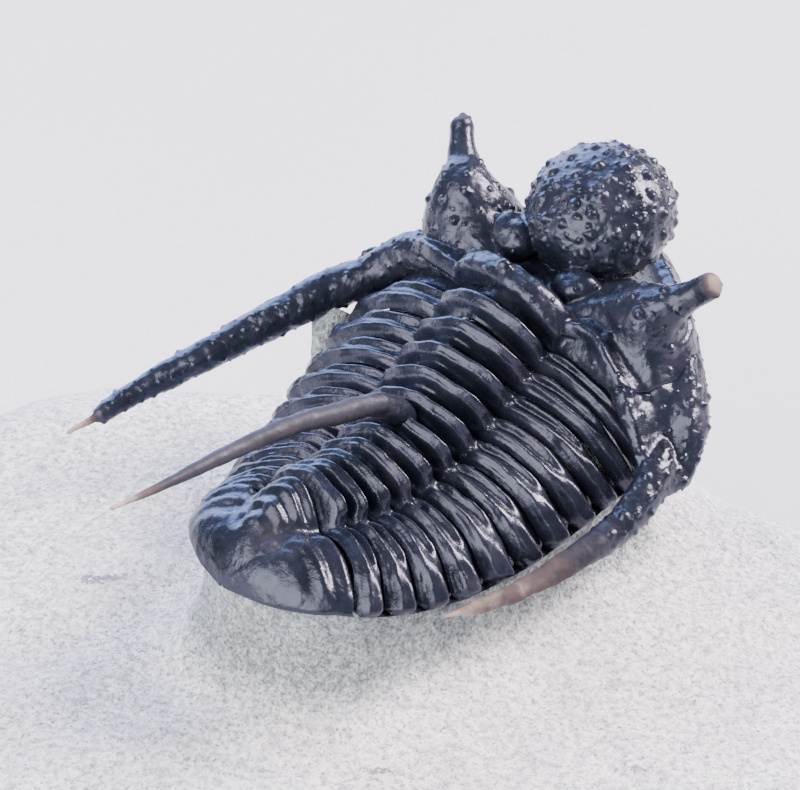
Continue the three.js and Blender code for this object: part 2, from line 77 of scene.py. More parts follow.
# %% [markdown]
# ## The animal's own curved frame
# The body arches and turns to one side, so a straight coordinate system would make every plate a
# special case. Instead a midline runs from the neck (station 0) over the body plates (1 to 11) to the
# tail (12). At each station three axes say which way is right, forward and up for the animal there.
# A plate is then described once, flat, and the frame bends it into place.

# %% Midline and axes
MIDDLE = 6
MIDDLE_PLACE = np.array([-2.0, 5.2, 16.5])
PLATE_PITCH = [0.986, -0.124]
LEAN = [11.2, -28.4, -15.2, 5.8]
TURN = [0, -8.4, -11.5, 7.7]


def axes_at(station):
    """Right, forward and up as columns: a turn about the vertical after a lean about the right axis."""
    t = (np.asarray(station, float) - MIDDLE) / MIDDLE
    turn, lean = np.radians(poly(TURN, t)), np.radians(poly(LEAN, t))
    st, ct, sl, cl = np.sin(turn), np.cos(turn), np.sin(lean), np.cos(lean)
    right = np.stack([ct, st, 0 * st], -1)
    forward = np.stack([-st * cl, ct * cl, sl], -1)
    up = np.stack([st * sl, -ct * sl, cl], -1)
    return np.stack([right, forward, up], -1)


def midline(station):
    """The middle plate's place, less the forward axis times the plate pitch summed over the way."""
    station = np.asarray(station, float)
    here = MIDDLE + (station[..., None] - MIDDLE) * (np.arange(40) + 0.5) / 40
    steps = axes_at(here)[..., 1] * poly(PLATE_PITCH, (here - MIDDLE) / MIDDLE)[..., None]
    return MIDDLE_PLACE - steps.sum(-2) * ((station - MIDDLE) / 40)[..., None]


STATIONS = np.linspace(-1.5, 13, 581)
PLACES = midline(STATIONS)


def to_world(station, local):
    """Place on the midline, found between the stored ones, plus the axes times the local point."""
    place = np.stack([np.interp(station, STATIONS, PLACES[:, k]) for k in range(3)], -1)
    return place + np.einsum("...ij,...j->...i", axes_at(station), local)


print("neck, middle and tail:", np.round(midline([0, 6, 12]), 2).tolist())

# %% [markdown]
# ## Meshes from grids of points
# Each shell plate is a closed tube of points: one direction runs round its section, the other runs
# across the animal, and a fan closes each end. One helper turns such a grid into a mesh object. It sets
# smooth shading and checks the volume's sign, so that every face points outwards.

# %% Mesh maker
def mesh_from(name, points, faces):
    """A mesh object whose place is in its mesh: points in mm are scaled to metres."""
    mesh = bpy.data.meshes.new(name)
    mesh.from_pydata((points * MM).tolist(), [], faces.tolist())
    mesh.polygons.foreach_set("use_smooth", np.ones(len(mesh.polygons), bool))
    mesh.update()
    piece = bpy.data.objects.new(name, mesh)
    bpy.context.scene.collection.objects.link(piece)
    return piece


def tube_grid(loops):
    """Quads round and along a grid of closed loops, and triangles to the middle of the two end loops."""
    count, around = loops.shape[:2]
    index = np.arange(count * around).reshape(count, around)
    turned = np.roll(index, -1, axis=1)
    quads = np.stack([index[:-1], turned[:-1], turned[1:], index[1:]], -1).reshape(-1, 4)
    tris = []
    for row, hub, flip in ((0, count * around, True), (count - 1, count * around + 1, False)):
        ends = [turned[row], index[row]] if flip else [index[row], turned[row]]
        tris.append(np.stack(ends + [np.full(around, hub)], -1))
    points = np.vstack([loops.reshape(-1, 3), loops[0].mean(0), loops[-1].mean(0)])
    return points, quads, np.vstack(tris)


def signed_volume(points, tris):
    """A sixth of the sum of each triangle's triple product."""
    a, b, c = points[tris[:, 0]], points[tris[:, 1]], points[tris[:, 2]]
    return np.einsum("ij,ij->i", a, np.cross(b, c)).sum() / 6


def closed_parts(loops):
    """The points, and the faces as triangles, of a closed tube that faces outwards."""
    points, quads, tris = tube_grid(loops)
    every = np.vstack([quads[:, [0, 1, 2]], quads[:, [0, 2, 3]], tris])
    return points, every if signed_volume(points, every) > 0 else every[:, ::-1]


def merged(parts):
    """One list of points and one of triangles from several, each part's indices moved on."""
    shift, points, tris = 0, [], []
    for p, t in parts:
        points.append(p)
        tris.append(t + shift)
        shift += len(p)
    return np.vstack(points), np.vstack(tris)


def tinted(piece, values):
    """Stores one number per point: 0 is black shell, 1 is the pale worn tip of a spine."""
    tint = piece.data.attributes.new("tint", "FLOAT", "POINT")
    tint.data.foreach_set("value", np.asarray(values, np.float32))


# %% [markdown]
# ## A repeatable unevenness
# Fossil shell and rock are never perfectly smooth. This noise gives each corner of a lattice a random
# number, fixed by a seed, and blends between corners. Adding finer copies of it gives the slow swells
# and the small pits of a natural surface, the same on every run.

# %% Lattice noise
LATTICE = np.random.default_rng(7).uniform(-1, 1, 4096)


def lattice_noise(points, size, layers=3):
    """Random corner values blended by smooth steps, plus half of the same at half the size, and so on."""
    total = np.zeros(len(points))
    for layer in range(layers):
        scaled = points * (2**layer / size) + 31.7 * layer
        cell = np.floor(scaled).astype(np.int64)
        way = scaled - cell
        way = way * way * (3 - 2 * way)
        value = np.zeros(len(points))
        for corner in np.ndindex(2, 2, 2):
            at = cell + np.array(corner)
            key = (at[:, 0] * 73856093) ^ (at[:, 1] * 19349663) ^ (at[:, 2] * 83492791)
            weight = np.prod(np.where(np.array(corner), way, 1 - way), axis=1)
            value += weight * LATTICE[key & 4095]
        total += value / 2**layer
    return total


# %% [markdown]
# ## Body plates
# Each of the eleven plates has a bold ring over the middle and a banded flank on either side. The ring
# is one strong fold, like a wave about to break, with a thin raised edge at its back. A furrow parts the
# flank into a front band and a rear band, and towards the tips only the rear band stays. The front edge
# dips under the plate ahead, as in the living animal, so no daylight shows between plates.
#
# The section across is a function of q, from -1 at the left tip to 1 at the right tip. The profile along
# the plate is a function of v, from 0 at its front to 1 at its rear. The two together give the surface.

# %% Section across the body
AXIS_WIDTH = [1.83, -0.36, -0.15]
AXIS_RISE = 0.74
AXIS_SPREAD = 1.1
AXIS_BELL = 1.4
LEFT_PULL = 0.2
TIP_OUT = [5.44, -1.16, -0.17]
TIP_DOWN = [1.97, -0.77, 0.46]
SWEEP = 0.55
AXIS_SHARE = 0.4
FLANK_BEND = 1.4


def section(station, q):
    """A bell over the ring: cosine to the power 1.4. Outwards of it a flank that bends down like a cosine."""
    t = (station - MIDDLE) / MIDDLE
    half, rise = poly(AXIS_WIDTH, t) * AXIS_SPREAD, poly(AXIS_WIDTH, t) * AXIS_RISE
    pull = np.where(q < 0, LEFT_PULL * smooth_step(7, 12, station), 0)
    out, down = poly(TIP_OUT, t) * (1 - pull), poly(TIP_DOWN, t)
    side, share = np.where(q < 0, -1, 1), np.abs(q)
    part = np.minimum(share / AXIS_SHARE, 1)
    turn = np.clip((share - AXIS_SHARE) / (1 - AXIS_SHARE), 0, 1.06) * FLANK_BEND
    reach = np.sin(turn) / math.sin(FLANK_BEND)
    drop = (1 - np.cos(turn) ** 1.2) / (1 - math.cos(FLANK_BEND) ** 1.2)
    x = side * np.where(part < 1, half * part, half + (out - half) * reach)
    z = np.where(part < 1, rise * np.maximum(np.cos(part * np.pi / 2), 0) ** AXIS_BELL, -down * drop)
    return np.stack([x, -SWEEP * np.where(part < 1, 0, reach) ** 2, z], -1)


def section_normal(station, q):
    """Square to the section: its slope over a small step of q, turned by a right angle in its plane."""
    slope = section(station, q + 0.02) - section(station, q - 0.02)
    normal = np.stack([-slope[..., 2], 0 * q, slope[..., 0]], -1)
    return normal / np.linalg.norm(normal, axis=-1, keepdims=True)


# %% Relief along a plate
RING_STOPS = [-0.45, -0.12, 0.03, 0.46, 0.7, 0.9, 1.0]
RING_TOP = [-0.62, -0.52, -0.38, 0.3, 0.2, -0.14, -0.3]
FLANK_STOPS = [-0.45, -0.14, 0.03, 0.22, 0.42, 0.7, 0.88, 1.0]
FLANK_TOP = [-0.6, -0.36, -0.18, 0.09, -0.02, 0.17, 0.06, -0.1]
TIP_STOPS = [-0.45, -0.12, 0.06, 0.5, 0.75, 0.92, 1.0]
TIP_TOP = [-0.62, -0.52, -0.4, 0.2, 0.12, -0.16, -0.32]
SHELL_STOPS = [-0.45, 0.75, 0.95, 1.0]
SHELL_THICKNESS = [0.16, 0.16, 0.08, 0.05]


def relief(q, v):
    """Ring, flank and tip profiles mixed by how far out the place is; ridges swell beside the axis."""
    share = np.abs(q)
    ring = 1 - smooth_step(0.3, 0.44, share)
    tip = smooth_step(0.62, 0.84, share)
    on_flank = soft_profile(FLANK_STOPS, FLANK_TOP, v)
    on_tip = soft_profile(TIP_STOPS, TIP_TOP, v)
    on_ring = soft_profile(RING_STOPS, RING_TOP, v)
    on_ring = on_ring + np.maximum(on_ring + 0.1, 0) * np.where(q > 0, 0.9, 0.35) * bell(share, 0.26, 0.11)
    outer = on_flank * (1 - tip) + on_tip * tip
    outer = outer + np.maximum(outer, 0) * 0.7 * bell(share, 0.46, 0.1)
    return ring * on_ring + (1 - ring) * outer - 0.05 * bell(share, 0.41, 0.06)


# %% One body plate
ACROSS, ROWS_OVER, ROWS_UNDER = 165, 40, 22
PLATES = 11
FRONT_EDGE = -0.45
MIDDLE_HEIGHT = -0.15


def plate_loops(number, front=FRONT_EDGE, lowest=-1.0):
    """Loops round the plate's profile, one for each q, shrunk to a rounded end at both tips."""
    q = np.linspace(-1, 1, ACROSS)
    over = np.linspace(front, 1, ROWS_OVER)
    below = np.linspace(1, front, ROWS_UNDER)
    spots = np.stack(np.broadcast_arrays(q[:, None] * 6, number * 7.3, over[None, :] * 1.5), -1)
    waver = lattice_noise(spots.reshape(-1, 3), 1.0, 3).reshape(ACROSS, ROWS_OVER)
    inner = smooth_step(0, 0.12, over)[None, :] * (1 - smooth_step(0.85, 1, over))[None, :]
    top = relief(q[:, None], over[None, :] + 0.06 * waver * inner)
    top = np.maximum(top + 0.045 * np.roll(waver, 17, axis=0) * inner, lowest)
    thin = soft_profile(SHELL_STOPS, SHELL_THICKNESS, below)
    under = np.maximum(relief(q[:, None], below[None, :]), lowest) - thin
    v = np.broadcast_to(np.concatenate([over, [1.02], below]), (ACROSS, ROWS_OVER + 1 + ROWS_UNDER))
    height = np.hstack([top, (top[:, -1:] + under[:, :1]) / 2, under])
    end = smooth_step(0.93, 1.0, np.abs(q))[:, None]
    thickness = np.sqrt(np.clip(1 - end**2, 0.002, 1))
    height = MIDDLE_HEIGHT + (height - MIDDLE_HEIGHT) * thickness
    v = 0.58 + (v - 0.58) * (1 - 0.28 * end)
    station = number - 0.5 + v
    across = np.broadcast_to(q[:, None], v.shape)
    points = section(station, across) + section_normal(station, across) * height[..., None]
    return to_world(station, points)


def roughened(points, outward, size, depth):
    """Each point moved along its outward direction by lattice noise times the depth."""
    return points + outward * (lattice_noise(points, size) * depth)[:, None]


# %% [markdown]
# ## Tubes for spines and horns
# A spine is a tube along a smooth path through a few waypoints, with its own radius at each of them.
# The path is a Catmull-Rom curve, which passes through every waypoint without corners.

# %% Smooth paths and tapered tubes
def smooth_path(waypoints, count):
    """Catmull-Rom: through each waypoint, with the slope there parallel to its neighbours' line."""
    w = np.asarray(waypoints, float)
    w = np.concatenate([2 * w[:1] - w[1:2], w, 2 * w[-1:] - w[-2:-1]])
    s = np.linspace(0, len(w) - 3, count)
    i = np.minimum(s.astype(int), len(w) - 4)
    u = (s - i).reshape((-1,) + (1,) * (w.ndim - 1))
    a, b, c, d = w[i], w[i + 1], w[i + 2], w[i + 3]
    return 0.5 * (2 * b + (c - a) * u + (2 * a - 5 * b + 4 * c - d) * u**2 + (3 * b - a - 3 * c + d) * u**3)


def tapered_tube(waypoints, radii, rings, sides=40, knobs=0.0, round_tip=False):
    """Circles square to the path, with the radius smoothed between waypoints and made a little uneven."""
    centre = smooth_path(waypoints, rings)
    radius = smooth_path(np.array(radii, float)[:, None], rings)[:, 0]
    steps = np.linalg.norm(np.diff(centre, axis=0), axis=1)
    left = np.append(steps[::-1].cumsum()[::-1], 0)
    if round_tip:
        radius = radius * np.sqrt(np.clip(1 - (1 - np.minimum(left / radii[-1], 1)) ** 2, 0.002, 1))
    ahead = np.gradient(centre, axis=0)
    ahead /= np.linalg.norm(ahead, axis=1, keepdims=True)
    side = np.cross(ahead, [0, 0, 1])
    side /= np.linalg.norm(side, axis=1, keepdims=True)
    top = np.cross(side, ahead)
    turn = np.linspace(0, 2 * np.pi, sides, endpoint=False)
    way = side[:, None] * np.cos(turn)[:, None] + top[:, None] * np.sin(turn)[:, None]
    points = centre[:, None] + way * radius[:, None, None]
    if knobs:
        bumps = lattice_noise(points.reshape(-1, 3), 0.7, 3).reshape(points.shape[:2])
        points = points + way * (bumps * knobs * np.minimum(radius, 0.4)[:, None] / 0.4)[..., None]
    return points


# %% [markdown]
# ### Eleven plates and the long axial spine
# All the plates come from the same functions, with the plate's number as the only difference. Two
# plates are special. The first reaches further forward and stays high, to close the joint with the
# neck. The sixth carries the long spine, which grew on it, so both are one object. Slow noise moves each
# surface outwards and inwards by a few hundredths of a millimetre, as in real shell.

# %% Body plates made
SPINE_ROUTE = [
    [0, 0.1, 1.1], [0, -0.45, 1.72], [-0.08, -1.15, 2.28], [-0.15, -2.0, 2.68], [-0.3, -3.2, 3.05],
    [-0.5, -5.3, 3.75], [-0.8, -7.6, 4.1], [-1.1, -9.6, 4.3], [-1.35, -11.2, 4.45], [-1.6, -12.85, 4.68],
]
SPINE_RADII = [0.5, 0.46, 0.4, 0.36, 0.34, 0.31, 0.26, 0.2, 0.13, 0.06]
SPINE_RINGS, SPINE_SIDES = 200, 40
SPINE_WEAR = [[0.1, 0.35, 0.85, 0.96, 1], [0, 0.17, 0.22, 0.6, 0.8]]
NECK_REACH, NECK_LOWEST = -1.1, -0.2
plates = []
for number in range(1, PLATES + 1):
    loops = plate_loops(number) if number > 1 else plate_loops(1, NECK_REACH, NECK_LOWEST)
    points, tris = closed_parts(loops)
    middle = to_world(np.full(len(points), float(number)), np.zeros((len(points), 3)))
    outward = points - (middle - [0, 0, 3])
    outward /= np.linalg.norm(outward, axis=1, keepdims=True)
    points = roughened(points, outward, 0.8, 0.03)
    points = roughened(points, outward, 0.22, 0.012)
    parts = [(points, tris)]
    if number == MIDDLE:
        route = np.array(SPINE_ROUTE) + MIDDLE_PLACE
        parts.append(closed_parts(tapered_tube(route, SPINE_RADII, SPINE_RINGS, SPINE_SIDES, knobs=0.035)))
    name = f"plate_{number:02d}"
    piece = mesh_from(name, *merged(parts))
    if number == MIDDLE:
        ring = np.minimum(np.arange(len(parts[1][0])) // SPINE_SIDES, SPINE_RINGS - 1)
        tinted(piece, np.append(np.zeros(len(points)), np.interp(ring / (SPINE_RINGS - 1), *SPINE_WEAR)))
    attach(piece, "root")
    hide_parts(f"thoracic_segment_{number:02d}")
    plates.append(piece)
print("plates made:", len(plates), "with", len(plates[0].data.polygons), "faces each")

# %% [markdown]
# ## Tail shield
# Behind the last plate the shell closes in a small shield. Its axis carries a few fading rings and its
# flanks fading ribs, and the margin is broad and smooth. It is the body's own section, drawn together
# like a quarter of an egg.

# %% Tail shield
TAIL_STATION = 11.6
TAIL_LENGTH = 2.25
TAIL_DROP = 1.95
TAIL_LEAN = 14
TAIL_NARROW = 0.94
TAIL_AXIS_FALL = 0.75
TAIL_OVER, TAIL_UNDER = 90, 13


def tail_point(q, turn, height):
    """The section shrunk by the cosine of turn and moved back by its sine, then leant over."""
    station = np.full(q.shape, TAIL_STATION)
    flat = section(station, q) + section_normal(station, q) * height[..., None]
    ridge = np.maximum(0, section(station, q)[..., 2])
    flat[..., 2] -= TAIL_AXIS_FALL * ridge * smooth_step(0.1, 1.1, turn)
    st, ct = np.sin(turn), np.clip(np.cos(turn), 1e-4, 1)
    x = flat[..., 0] * ct * (1 - (1 - TAIL_NARROW) * np.minimum(1, 4 * st))
    y = flat[..., 1] * ct**2 - SWEEP * st**2 - (TAIL_LENGTH + height) * st
    z = -TAIL_DROP + (flat[..., 2] + TAIL_DROP) * ct**0.8 + height * st * 0.6
    lean = math.radians(TAIL_LEAN) * st
    turned = np.stack([x, y * np.cos(lean) - z * np.sin(lean), y * np.sin(lean) + z * np.cos(lean)], -1)
    return to_world(station, turned)


def tail_relief(q, turn):
    """Rings on the axis and ribs on the flanks: waves over turn that fade to the rear and the margin."""
    share = np.abs(q)
    narrow = 1 - 0.45 * smooth_step(0, 0.9, turn)
    axis = 1 - smooth_step(0.28 * narrow, 0.38 * narrow, share)
    flank = smooth_step(0.38, 0.48, share) * (1 - smooth_step(0.7, 0.93, share))
    rings = 0.11 * (0.1 - np.cos(turn * 31)) * np.clip(1 - turn / 0.85, 0, 1)
    ribs = 0.1 * (0.1 - np.cos(turn * 21)) * np.clip(1 - turn / 0.9, 0, 1)
    groove = -0.08 * bell(share, 0.4 * narrow, 0.05) * (1 - smooth_step(0.5, 0.95, turn))
    front = -0.2 * (1 - smooth_step(0, 0.06, turn))
    return axis * rings + flank * ribs + groove + front - 0.06


def tail_loops():
    """Loops round the shield's profile from front to rear over the top, and back underneath."""
    q = np.linspace(-1, 1, ACROSS)[:, None]
    last = math.radians(89)
    over, below = np.linspace(0, last, TAIL_OVER), np.linspace(last, 0, TAIL_UNDER + 1)[1:]
    turn = np.broadcast_to(np.concatenate([over, below]), (ACROSS, TAIL_OVER + TAIL_UNDER))
    across = np.broadcast_to(q, turn.shape)
    top = tail_relief(across[:, :TAIL_OVER], turn[:, :TAIL_OVER])
    height = np.hstack([top, np.full((ACROSS, TAIL_UNDER), -0.32)])
    end = smooth_step(0.95, 1.0, np.abs(across))
    height = -0.16 + (height + 0.16) * np.sqrt(np.clip(1 - end**2, 0.002, 1))
    return tail_point(across, turn, height)


# %% [markdown]
# ### The crystalline patch
# Right of the tail's axis the calcite has grown as small crystals, and left of it are a few round pits.
# Patch and pits are bells in the shield's own two parameters, q and the turn in degrees. Inside the
# patch the noise is raised into crumbs. Points underneath get a turn far past both.

# %% Tail shield made
UNDERNEATH = 200.0
PIT_PLACES = [(-0.5, 31), (-0.23, 38), (-0.36, 27), (-0.1, 30)]
points, tris = closed_parts(tail_loops())
outward = points - (midline(np.array(TAIL_STATION)) - [0, 0, 3])
outward /= np.linalg.norm(outward, axis=1, keepdims=True)
points = roughened(roughened(points, outward, 1.1, 0.04), outward, 0.25, 0.009)
grid_q = np.append(np.repeat(np.linspace(-1, 1, ACROSS), TAIL_OVER + TAIL_UNDER), [-1, 1])
turns = np.append(np.linspace(0, 89, TAIL_OVER), np.full(TAIL_UNDER, UNDERNEATH))
grid_turn = np.append(np.tile(turns, ACROSS), [UNDERNEATH, UNDERNEATH])
patch = bell(grid_q, 0.3, 0.17) * bell(grid_turn, 36 + 12 * grid_q, 11)
crystals = np.maximum(lattice_noise(points, 0.3, 2), 0) * 0.16 - 0.06
pits = sum(bell(np.hypot((grid_q - q) * 6, (grid_turn - turn) / 12), 0, 0.55) for q, turn in PIT_PLACES)
points = points + outward * (crystals * patch - 0.09 * pits)[:, None]
tail = mesh_from("tail_shield", points, tris)
tinted(tail, 0.16 * patch)
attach(tail, "root")
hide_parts("pygidium")
print("tail shield:", len(tail.data.polygons), "faces")

# %% [markdown]
# ## Head shield
# The head is a vaulted plate with a raised rim. On it stand the globe-shaped glabella, the neck ring,
# two small lobes, and an eye mound with a horn on either side. These grew as one plate, so they should
# flow into each other. Separate closed surfaces are merged with a voxel remesh, which fuses them as
# clay would be, then smoothed a little to round the joints. The warts are raised afterwards, because a
# remesh would blur them.

# %% Head outline and height
HEAD_HALF = 7.8
HEAD_LENGTH = 6.6
HEAD_BACK = -0.7
HEAD_CREST = 0.3
HEAD_DROP = 3.0
HEAD_SHELL = 0.3
CHEEK_SWELL = 0.6
EYE = (4.1, 2.2)


def forward_share(y):
    """How far forward: the way from the rear edge over the head's length, to the power 1.5."""
    return np.maximum(0, (y - HEAD_BACK) / HEAD_LENGTH) ** 1.5


def outline_half(y):
    """Half width of the outline, an oval that closes where the forward share is 1."""
    return HEAD_HALF * np.maximum(0, 1 - forward_share(y)) ** (1 / 1.18)


def outward_share(x, y):
    """0 in the middle of the rear edge and 1 on the outline."""
    return (np.hypot(x, 0.4) / HEAD_HALF) ** 1.18 + forward_share(y)


def head_height(x, y):
    """A vault, plus a rim, an eye mound, and a roll with a furrow along the rear edge."""
    share = np.minimum(1, outward_share(x, y))
    vault = HEAD_CREST - HEAD_DROP * share**1.9
    rim = 0.26 * bell(share, 0.955, 0.05) - 0.16 * bell(share, 0.84, 0.05)
    from_eye = np.hypot(np.abs(x) - EYE[0], y - EYE[1]) / 1.8
    mound = 2.65 * np.exp(-(from_eye**1.6))
    side = smooth_step(1.6, 2.6, np.abs(x))
    rear = 0.36 * bell(y, HEAD_BACK + 0.55, 0.28) - 0.2 * side * bell(y, HEAD_BACK + 1.25, 0.3)
    return vault + mound + rim + rear


def suture_half(y):
    """Where the free cheek parts from the middle of the head."""
    return np.minimum(5.5 - 0.16 * (y - 1.6) ** 2, outline_half(y) - 0.02)


def rear_shift(x, y):
    """How far the rear edge lies ahead of a straight line; the right corner is swept back the more."""
    side, right = np.abs(x), x > 0
    corner, slope = np.where(right, 4.7, 7.2), np.where(right, 0.64, 1.0)
    past = (np.hypot(side - corner, 0.4) + side - corner) / 2
    swell = np.where(right, 0.5 * bell(side, 3.1, 1.1), 0.42 * bell(side, 5.6, 2.0))
    return (swell - slope * past) * (1 - smooth_step(HEAD_BACK, 3.2, y))


def head_world(local):
    """Local head coordinates set in the frame of station 0."""
    return to_world(np.zeros(local.shape[:-1]), local)


# %% Head plate and its attached shapes
def sheet_loops(x, y, sunk=0.0):
    """A closed sheet over a grid of x and y: its top, and the same at a lower height."""
    swell = CHEEK_SWELL * bell(y, 1.4, 1.3) * smooth_step(4, 7, x)
    top = np.stack([x + swell, y + rear_shift(x, y), head_height(x, y) - sunk], -1)
    return np.concatenate([top, top[:, ::-1] - [0, 0, HEAD_SHELL]], axis=1)


def cranidium_sheet():
    """The head's vault between the two sutures, as a closed sheet."""
    y = np.linspace(HEAD_BACK + 0.22, 5.7, 110)[:, None]
    u = np.linspace(-1, 1, 150)[None, :]
    x = u * suture_half(y)
    return head_world(sheet_loops(x, np.broadcast_to(y, x.shape)))


def ellipsoid(centre, radii, around=64, along=40):
    """Points of latitude and longitude, scaled by three radii."""
    lat = np.linspace(-np.pi / 2 + 0.02, np.pi / 2 - 0.02, along)[:, None]
    lon = np.linspace(0, 2 * np.pi, around, endpoint=False)[None, :]
    unit = np.stack([np.cos(lat) * np.cos(lon), np.cos(lat) * np.sin(lon), np.sin(lat) + 0 * lon], -1)
    return unit * np.array(radii) + np.array(centre)


NECK_SECTION = [[0.62, -0.9], [0.58, -0.3], [0.42, 0.04], [0.2, 0.14], [-0.1, 0.14], [-0.3, 0.06],
                [-0.4, -0.1], [-0.42, -0.35], [-0.42, -0.9]]
NECK_HALF, NECK_RISE = 2.4, 1.75


def neck_ring():
    """A section like a low wall with a rounded top, carried over an arch across the neck."""
    turn = np.linspace(-1, 1, 90)[:, None] * (np.pi / 2) * 0.98
    x = NECK_HALF * np.sin(turn)
    z = NECK_RISE * np.cos(turn) ** 0.9 + 0.05
    y, lift = np.array(NECK_SECTION).T
    return np.stack([x + 0 * y, y + 0 * x, z + lift], -1)


GLOBE_CENTRE = np.array([0, 4.16, 0.62])
GLOBE_RADII = np.array([2.46, 2.4, 1.98])
NECK_KNOB = 0.24
RIGHT_HORN = [[4.1, 2.0, -0.3], [4.35, 2.2, 0.3], [4.75, 2.5, 0.72], [5.15, 2.85, 0.98], [5.6, 3.25, 1.3],
              [5.95, 3.5, 1.56], [6.14, 3.64, 1.7]]
LEFT_HORN = [[-4.1, 2.0, -0.3], [-4.35, 2.25, 0.4], [-4.62, 2.55, 0.82], [-5.0, 2.95, 1.05], [-5.5, 3.5, 1.4],
             [-5.8, 3.84, 1.57], [-5.98, 4.02, 1.67]]
RIGHT_HORN_RADII = [1.5, 1.15, 0.72, 0.53, 0.47, 0.46, 0.4]
LEFT_HORN_RADII = [1.7, 1.35, 0.95, 0.58, 0.41, 0.41, 0.36]

head_parts = [
    closed_parts(cranidium_sheet()),
    closed_parts(head_world(ellipsoid(GLOBE_CENTRE, GLOBE_RADII, 120, 80))),
    closed_parts(head_world(neck_ring())),
    closed_parts(head_world(ellipsoid([0, 0.12, 1.98], [NECK_KNOB] * 3))),
]
LOBES = [([1.35, 1.55, 0.3], [0.82, 0.7, 0.66]), ([-1.5, 1.85, 0.62], [0.92, 0.85, 0.85])]
for centre, radii in LOBES:
    lobe = ellipsoid(centre, radii)
    lumps = lattice_noise(lobe.reshape(-1, 3) + 5, 0.9, 2).reshape(lobe.shape[:2])
    head_parts.append(closed_parts(head_world(lobe + (lobe - centre) * 0.22 * lumps[..., None])))
for route, radii in ((RIGHT_HORN, RIGHT_HORN_RADII), (LEFT_HORN, LEFT_HORN_RADII)):
    head_parts.append(closed_parts(tapered_tube(head_world(np.array(route)), radii, 90, round_tip=True)))
print("shapes on the head shield:", len(head_parts))


# %% Fusing with a voxel remesh
def fused(parts, voxel, smoothing):
    """Overlapping closed parts remeshed as one skin, then relaxed; returns points in mm and quads."""
    mesh = bpy.data.meshes.new("rough")
    points, tris = merged(parts)
    mesh.from_pydata(points.tolist(), [], tris.tolist())
    rough = bpy.data.objects.new("rough", mesh)
    bpy.context.scene.collection.objects.link(rough)
    remesh = rough.modifiers.new("fuse", "REMESH")
    remesh.mode, remesh.voxel_size, remesh.adaptivity = "VOXEL", voxel, 0
    relax = rough.modifiers.new("relax", "SMOOTH")
    relax.factor, relax.iterations = 0.5, smoothing
    done = rough.evaluated_get(bpy.context.evaluated_depsgraph_get()).to_mesh()
    points = np.empty(len(done.vertices) * 3)
    done.vertices.foreach_get("co", points)
    normals = np.empty(len(done.vertices) * 3)
    done.vertices.foreach_get("normal", normals)
    corners = np.empty(len(done.loops), int)
    done.loops.foreach_get("vertex_index", corners)
    rough.to_mesh_clear()
    bpy.data.objects.remove(rough)
    bpy.data.meshes.remove(mesh)
    return points.reshape(-1, 3), normals.reshape(-1, 3), corners.reshape(-1, 4)


def raised(points, normals, centres, radii, heights):
    """Warts: near each centre a point rises by the height times (1 - d^2)^1.5, d counted in radii."""
    rise = np.zeros(len(points))
    for centre, radius, height in zip(centres, radii, heights):
        d2 = ((points - centre) ** 2).sum(1) / radius**2
        near = d2 < 1
        rise[near] = np.maximum(rise[near], height * (1 - d2[near]) ** 1.5)
    return points + normals * rise[:, None]


def spread_on(points, spacing, rng, keep):
    """Places picked from the points in random order, each at least the spacing from those before it."""
    order = rng.permutation(np.flatnonzero(keep))
    left = points[order]
    picked = []
    while len(left):
        picked.append(left[0])
        left = left[((left - left[0]) ** 2).sum(1) > spacing**2]
    return np.array(picked)


def in_head(points):
    """World points turned back into the head's own coordinates."""
    return (points - midline(np.array(0.0))) @ axes_at(0.0)


# %% [markdown]
# ### Warts
# The real warts crowd on the globe in two sizes and thin out towards the rear. They could be placed by
# hand, but a rule looks as natural: points of the skin are tried in random order, and each is kept only
# if it is far enough from those already kept. A wart lifts the skin along its own normal.

# %% Cranidium with its warts
HEAD_VOXEL, CHEEK_VOXEL = 0.056, 0.06
points, normals, quads = fused(head_parts, HEAD_VOXEL, 10)
rng = np.random.default_rng(11)
local = in_head(points)
from_globe = np.linalg.norm((local - GLOBE_CENTRE) / GLOBE_RADII, axis=1)
on_globe = (from_globe < 1.05) & (from_globe > 0.93) & (local[:, 2] > -0.5)
on_mound = (np.abs(local[:, 0]) > 2.6) & (local[:, 1] > 0.6) & (local[:, 2] > -1.6) & (from_globe > 1.12)
clear_horn = np.linalg.norm(np.abs(local) - [5.3, 3.3, 1.3], axis=1) > 0.9
elsewhere = (local[:, 1] > -0.3) & (local[:, 2] > -2.2) & clear_horn
# Where a kind of wart may stand, how far apart, and its least and greatest radius in mm
WART_KINDS = [(on_globe, 0.66, 0.18, 0.26), (on_globe, 0.36, 0.07, 0.13),
              (on_mound & clear_horn, 0.85, 0.14, 0.22), (elsewhere, 0.62, 0.07, 0.12)]
warts, radii = [], []
for keep, spacing, least, greatest in WART_KINDS:
    places = spread_on(points, spacing, rng, keep)
    warts.append(places)
    radii.append(rng.uniform(least, greatest, len(places)))
warts, radii = np.vstack(warts), np.concatenate(radii)
points = raised(points, normals, warts, radii, radii * 0.56)
points = roughened(roughened(points, normals, 0.8, 0.04), normals, 0.2, 0.012)
cranidium = mesh_from("head_shield", points, quads)
local = in_head(points)
tip_colour = 0.55 * (1 - smooth_step(0.25, 0.75, np.linalg.norm(local - RIGHT_HORN[-1], axis=1)))
tip_colour += 0.3 * (1 - smooth_step(0.1, 0.7, np.linalg.norm(local - LEFT_HORN[-1], axis=1)))
tinted(cranidium, tip_colour)
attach(cranidium, "root")
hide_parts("cranidium")
print("head shield:", len(quads), "quads and", len(warts), "warts")

# %% [markdown]
# ## Free cheeks
# The side plates of the head carry the two longest spines. The left one stands free in the air, the
# right one curves back along the body. Both are covered with small warts, which stop short of the tip.

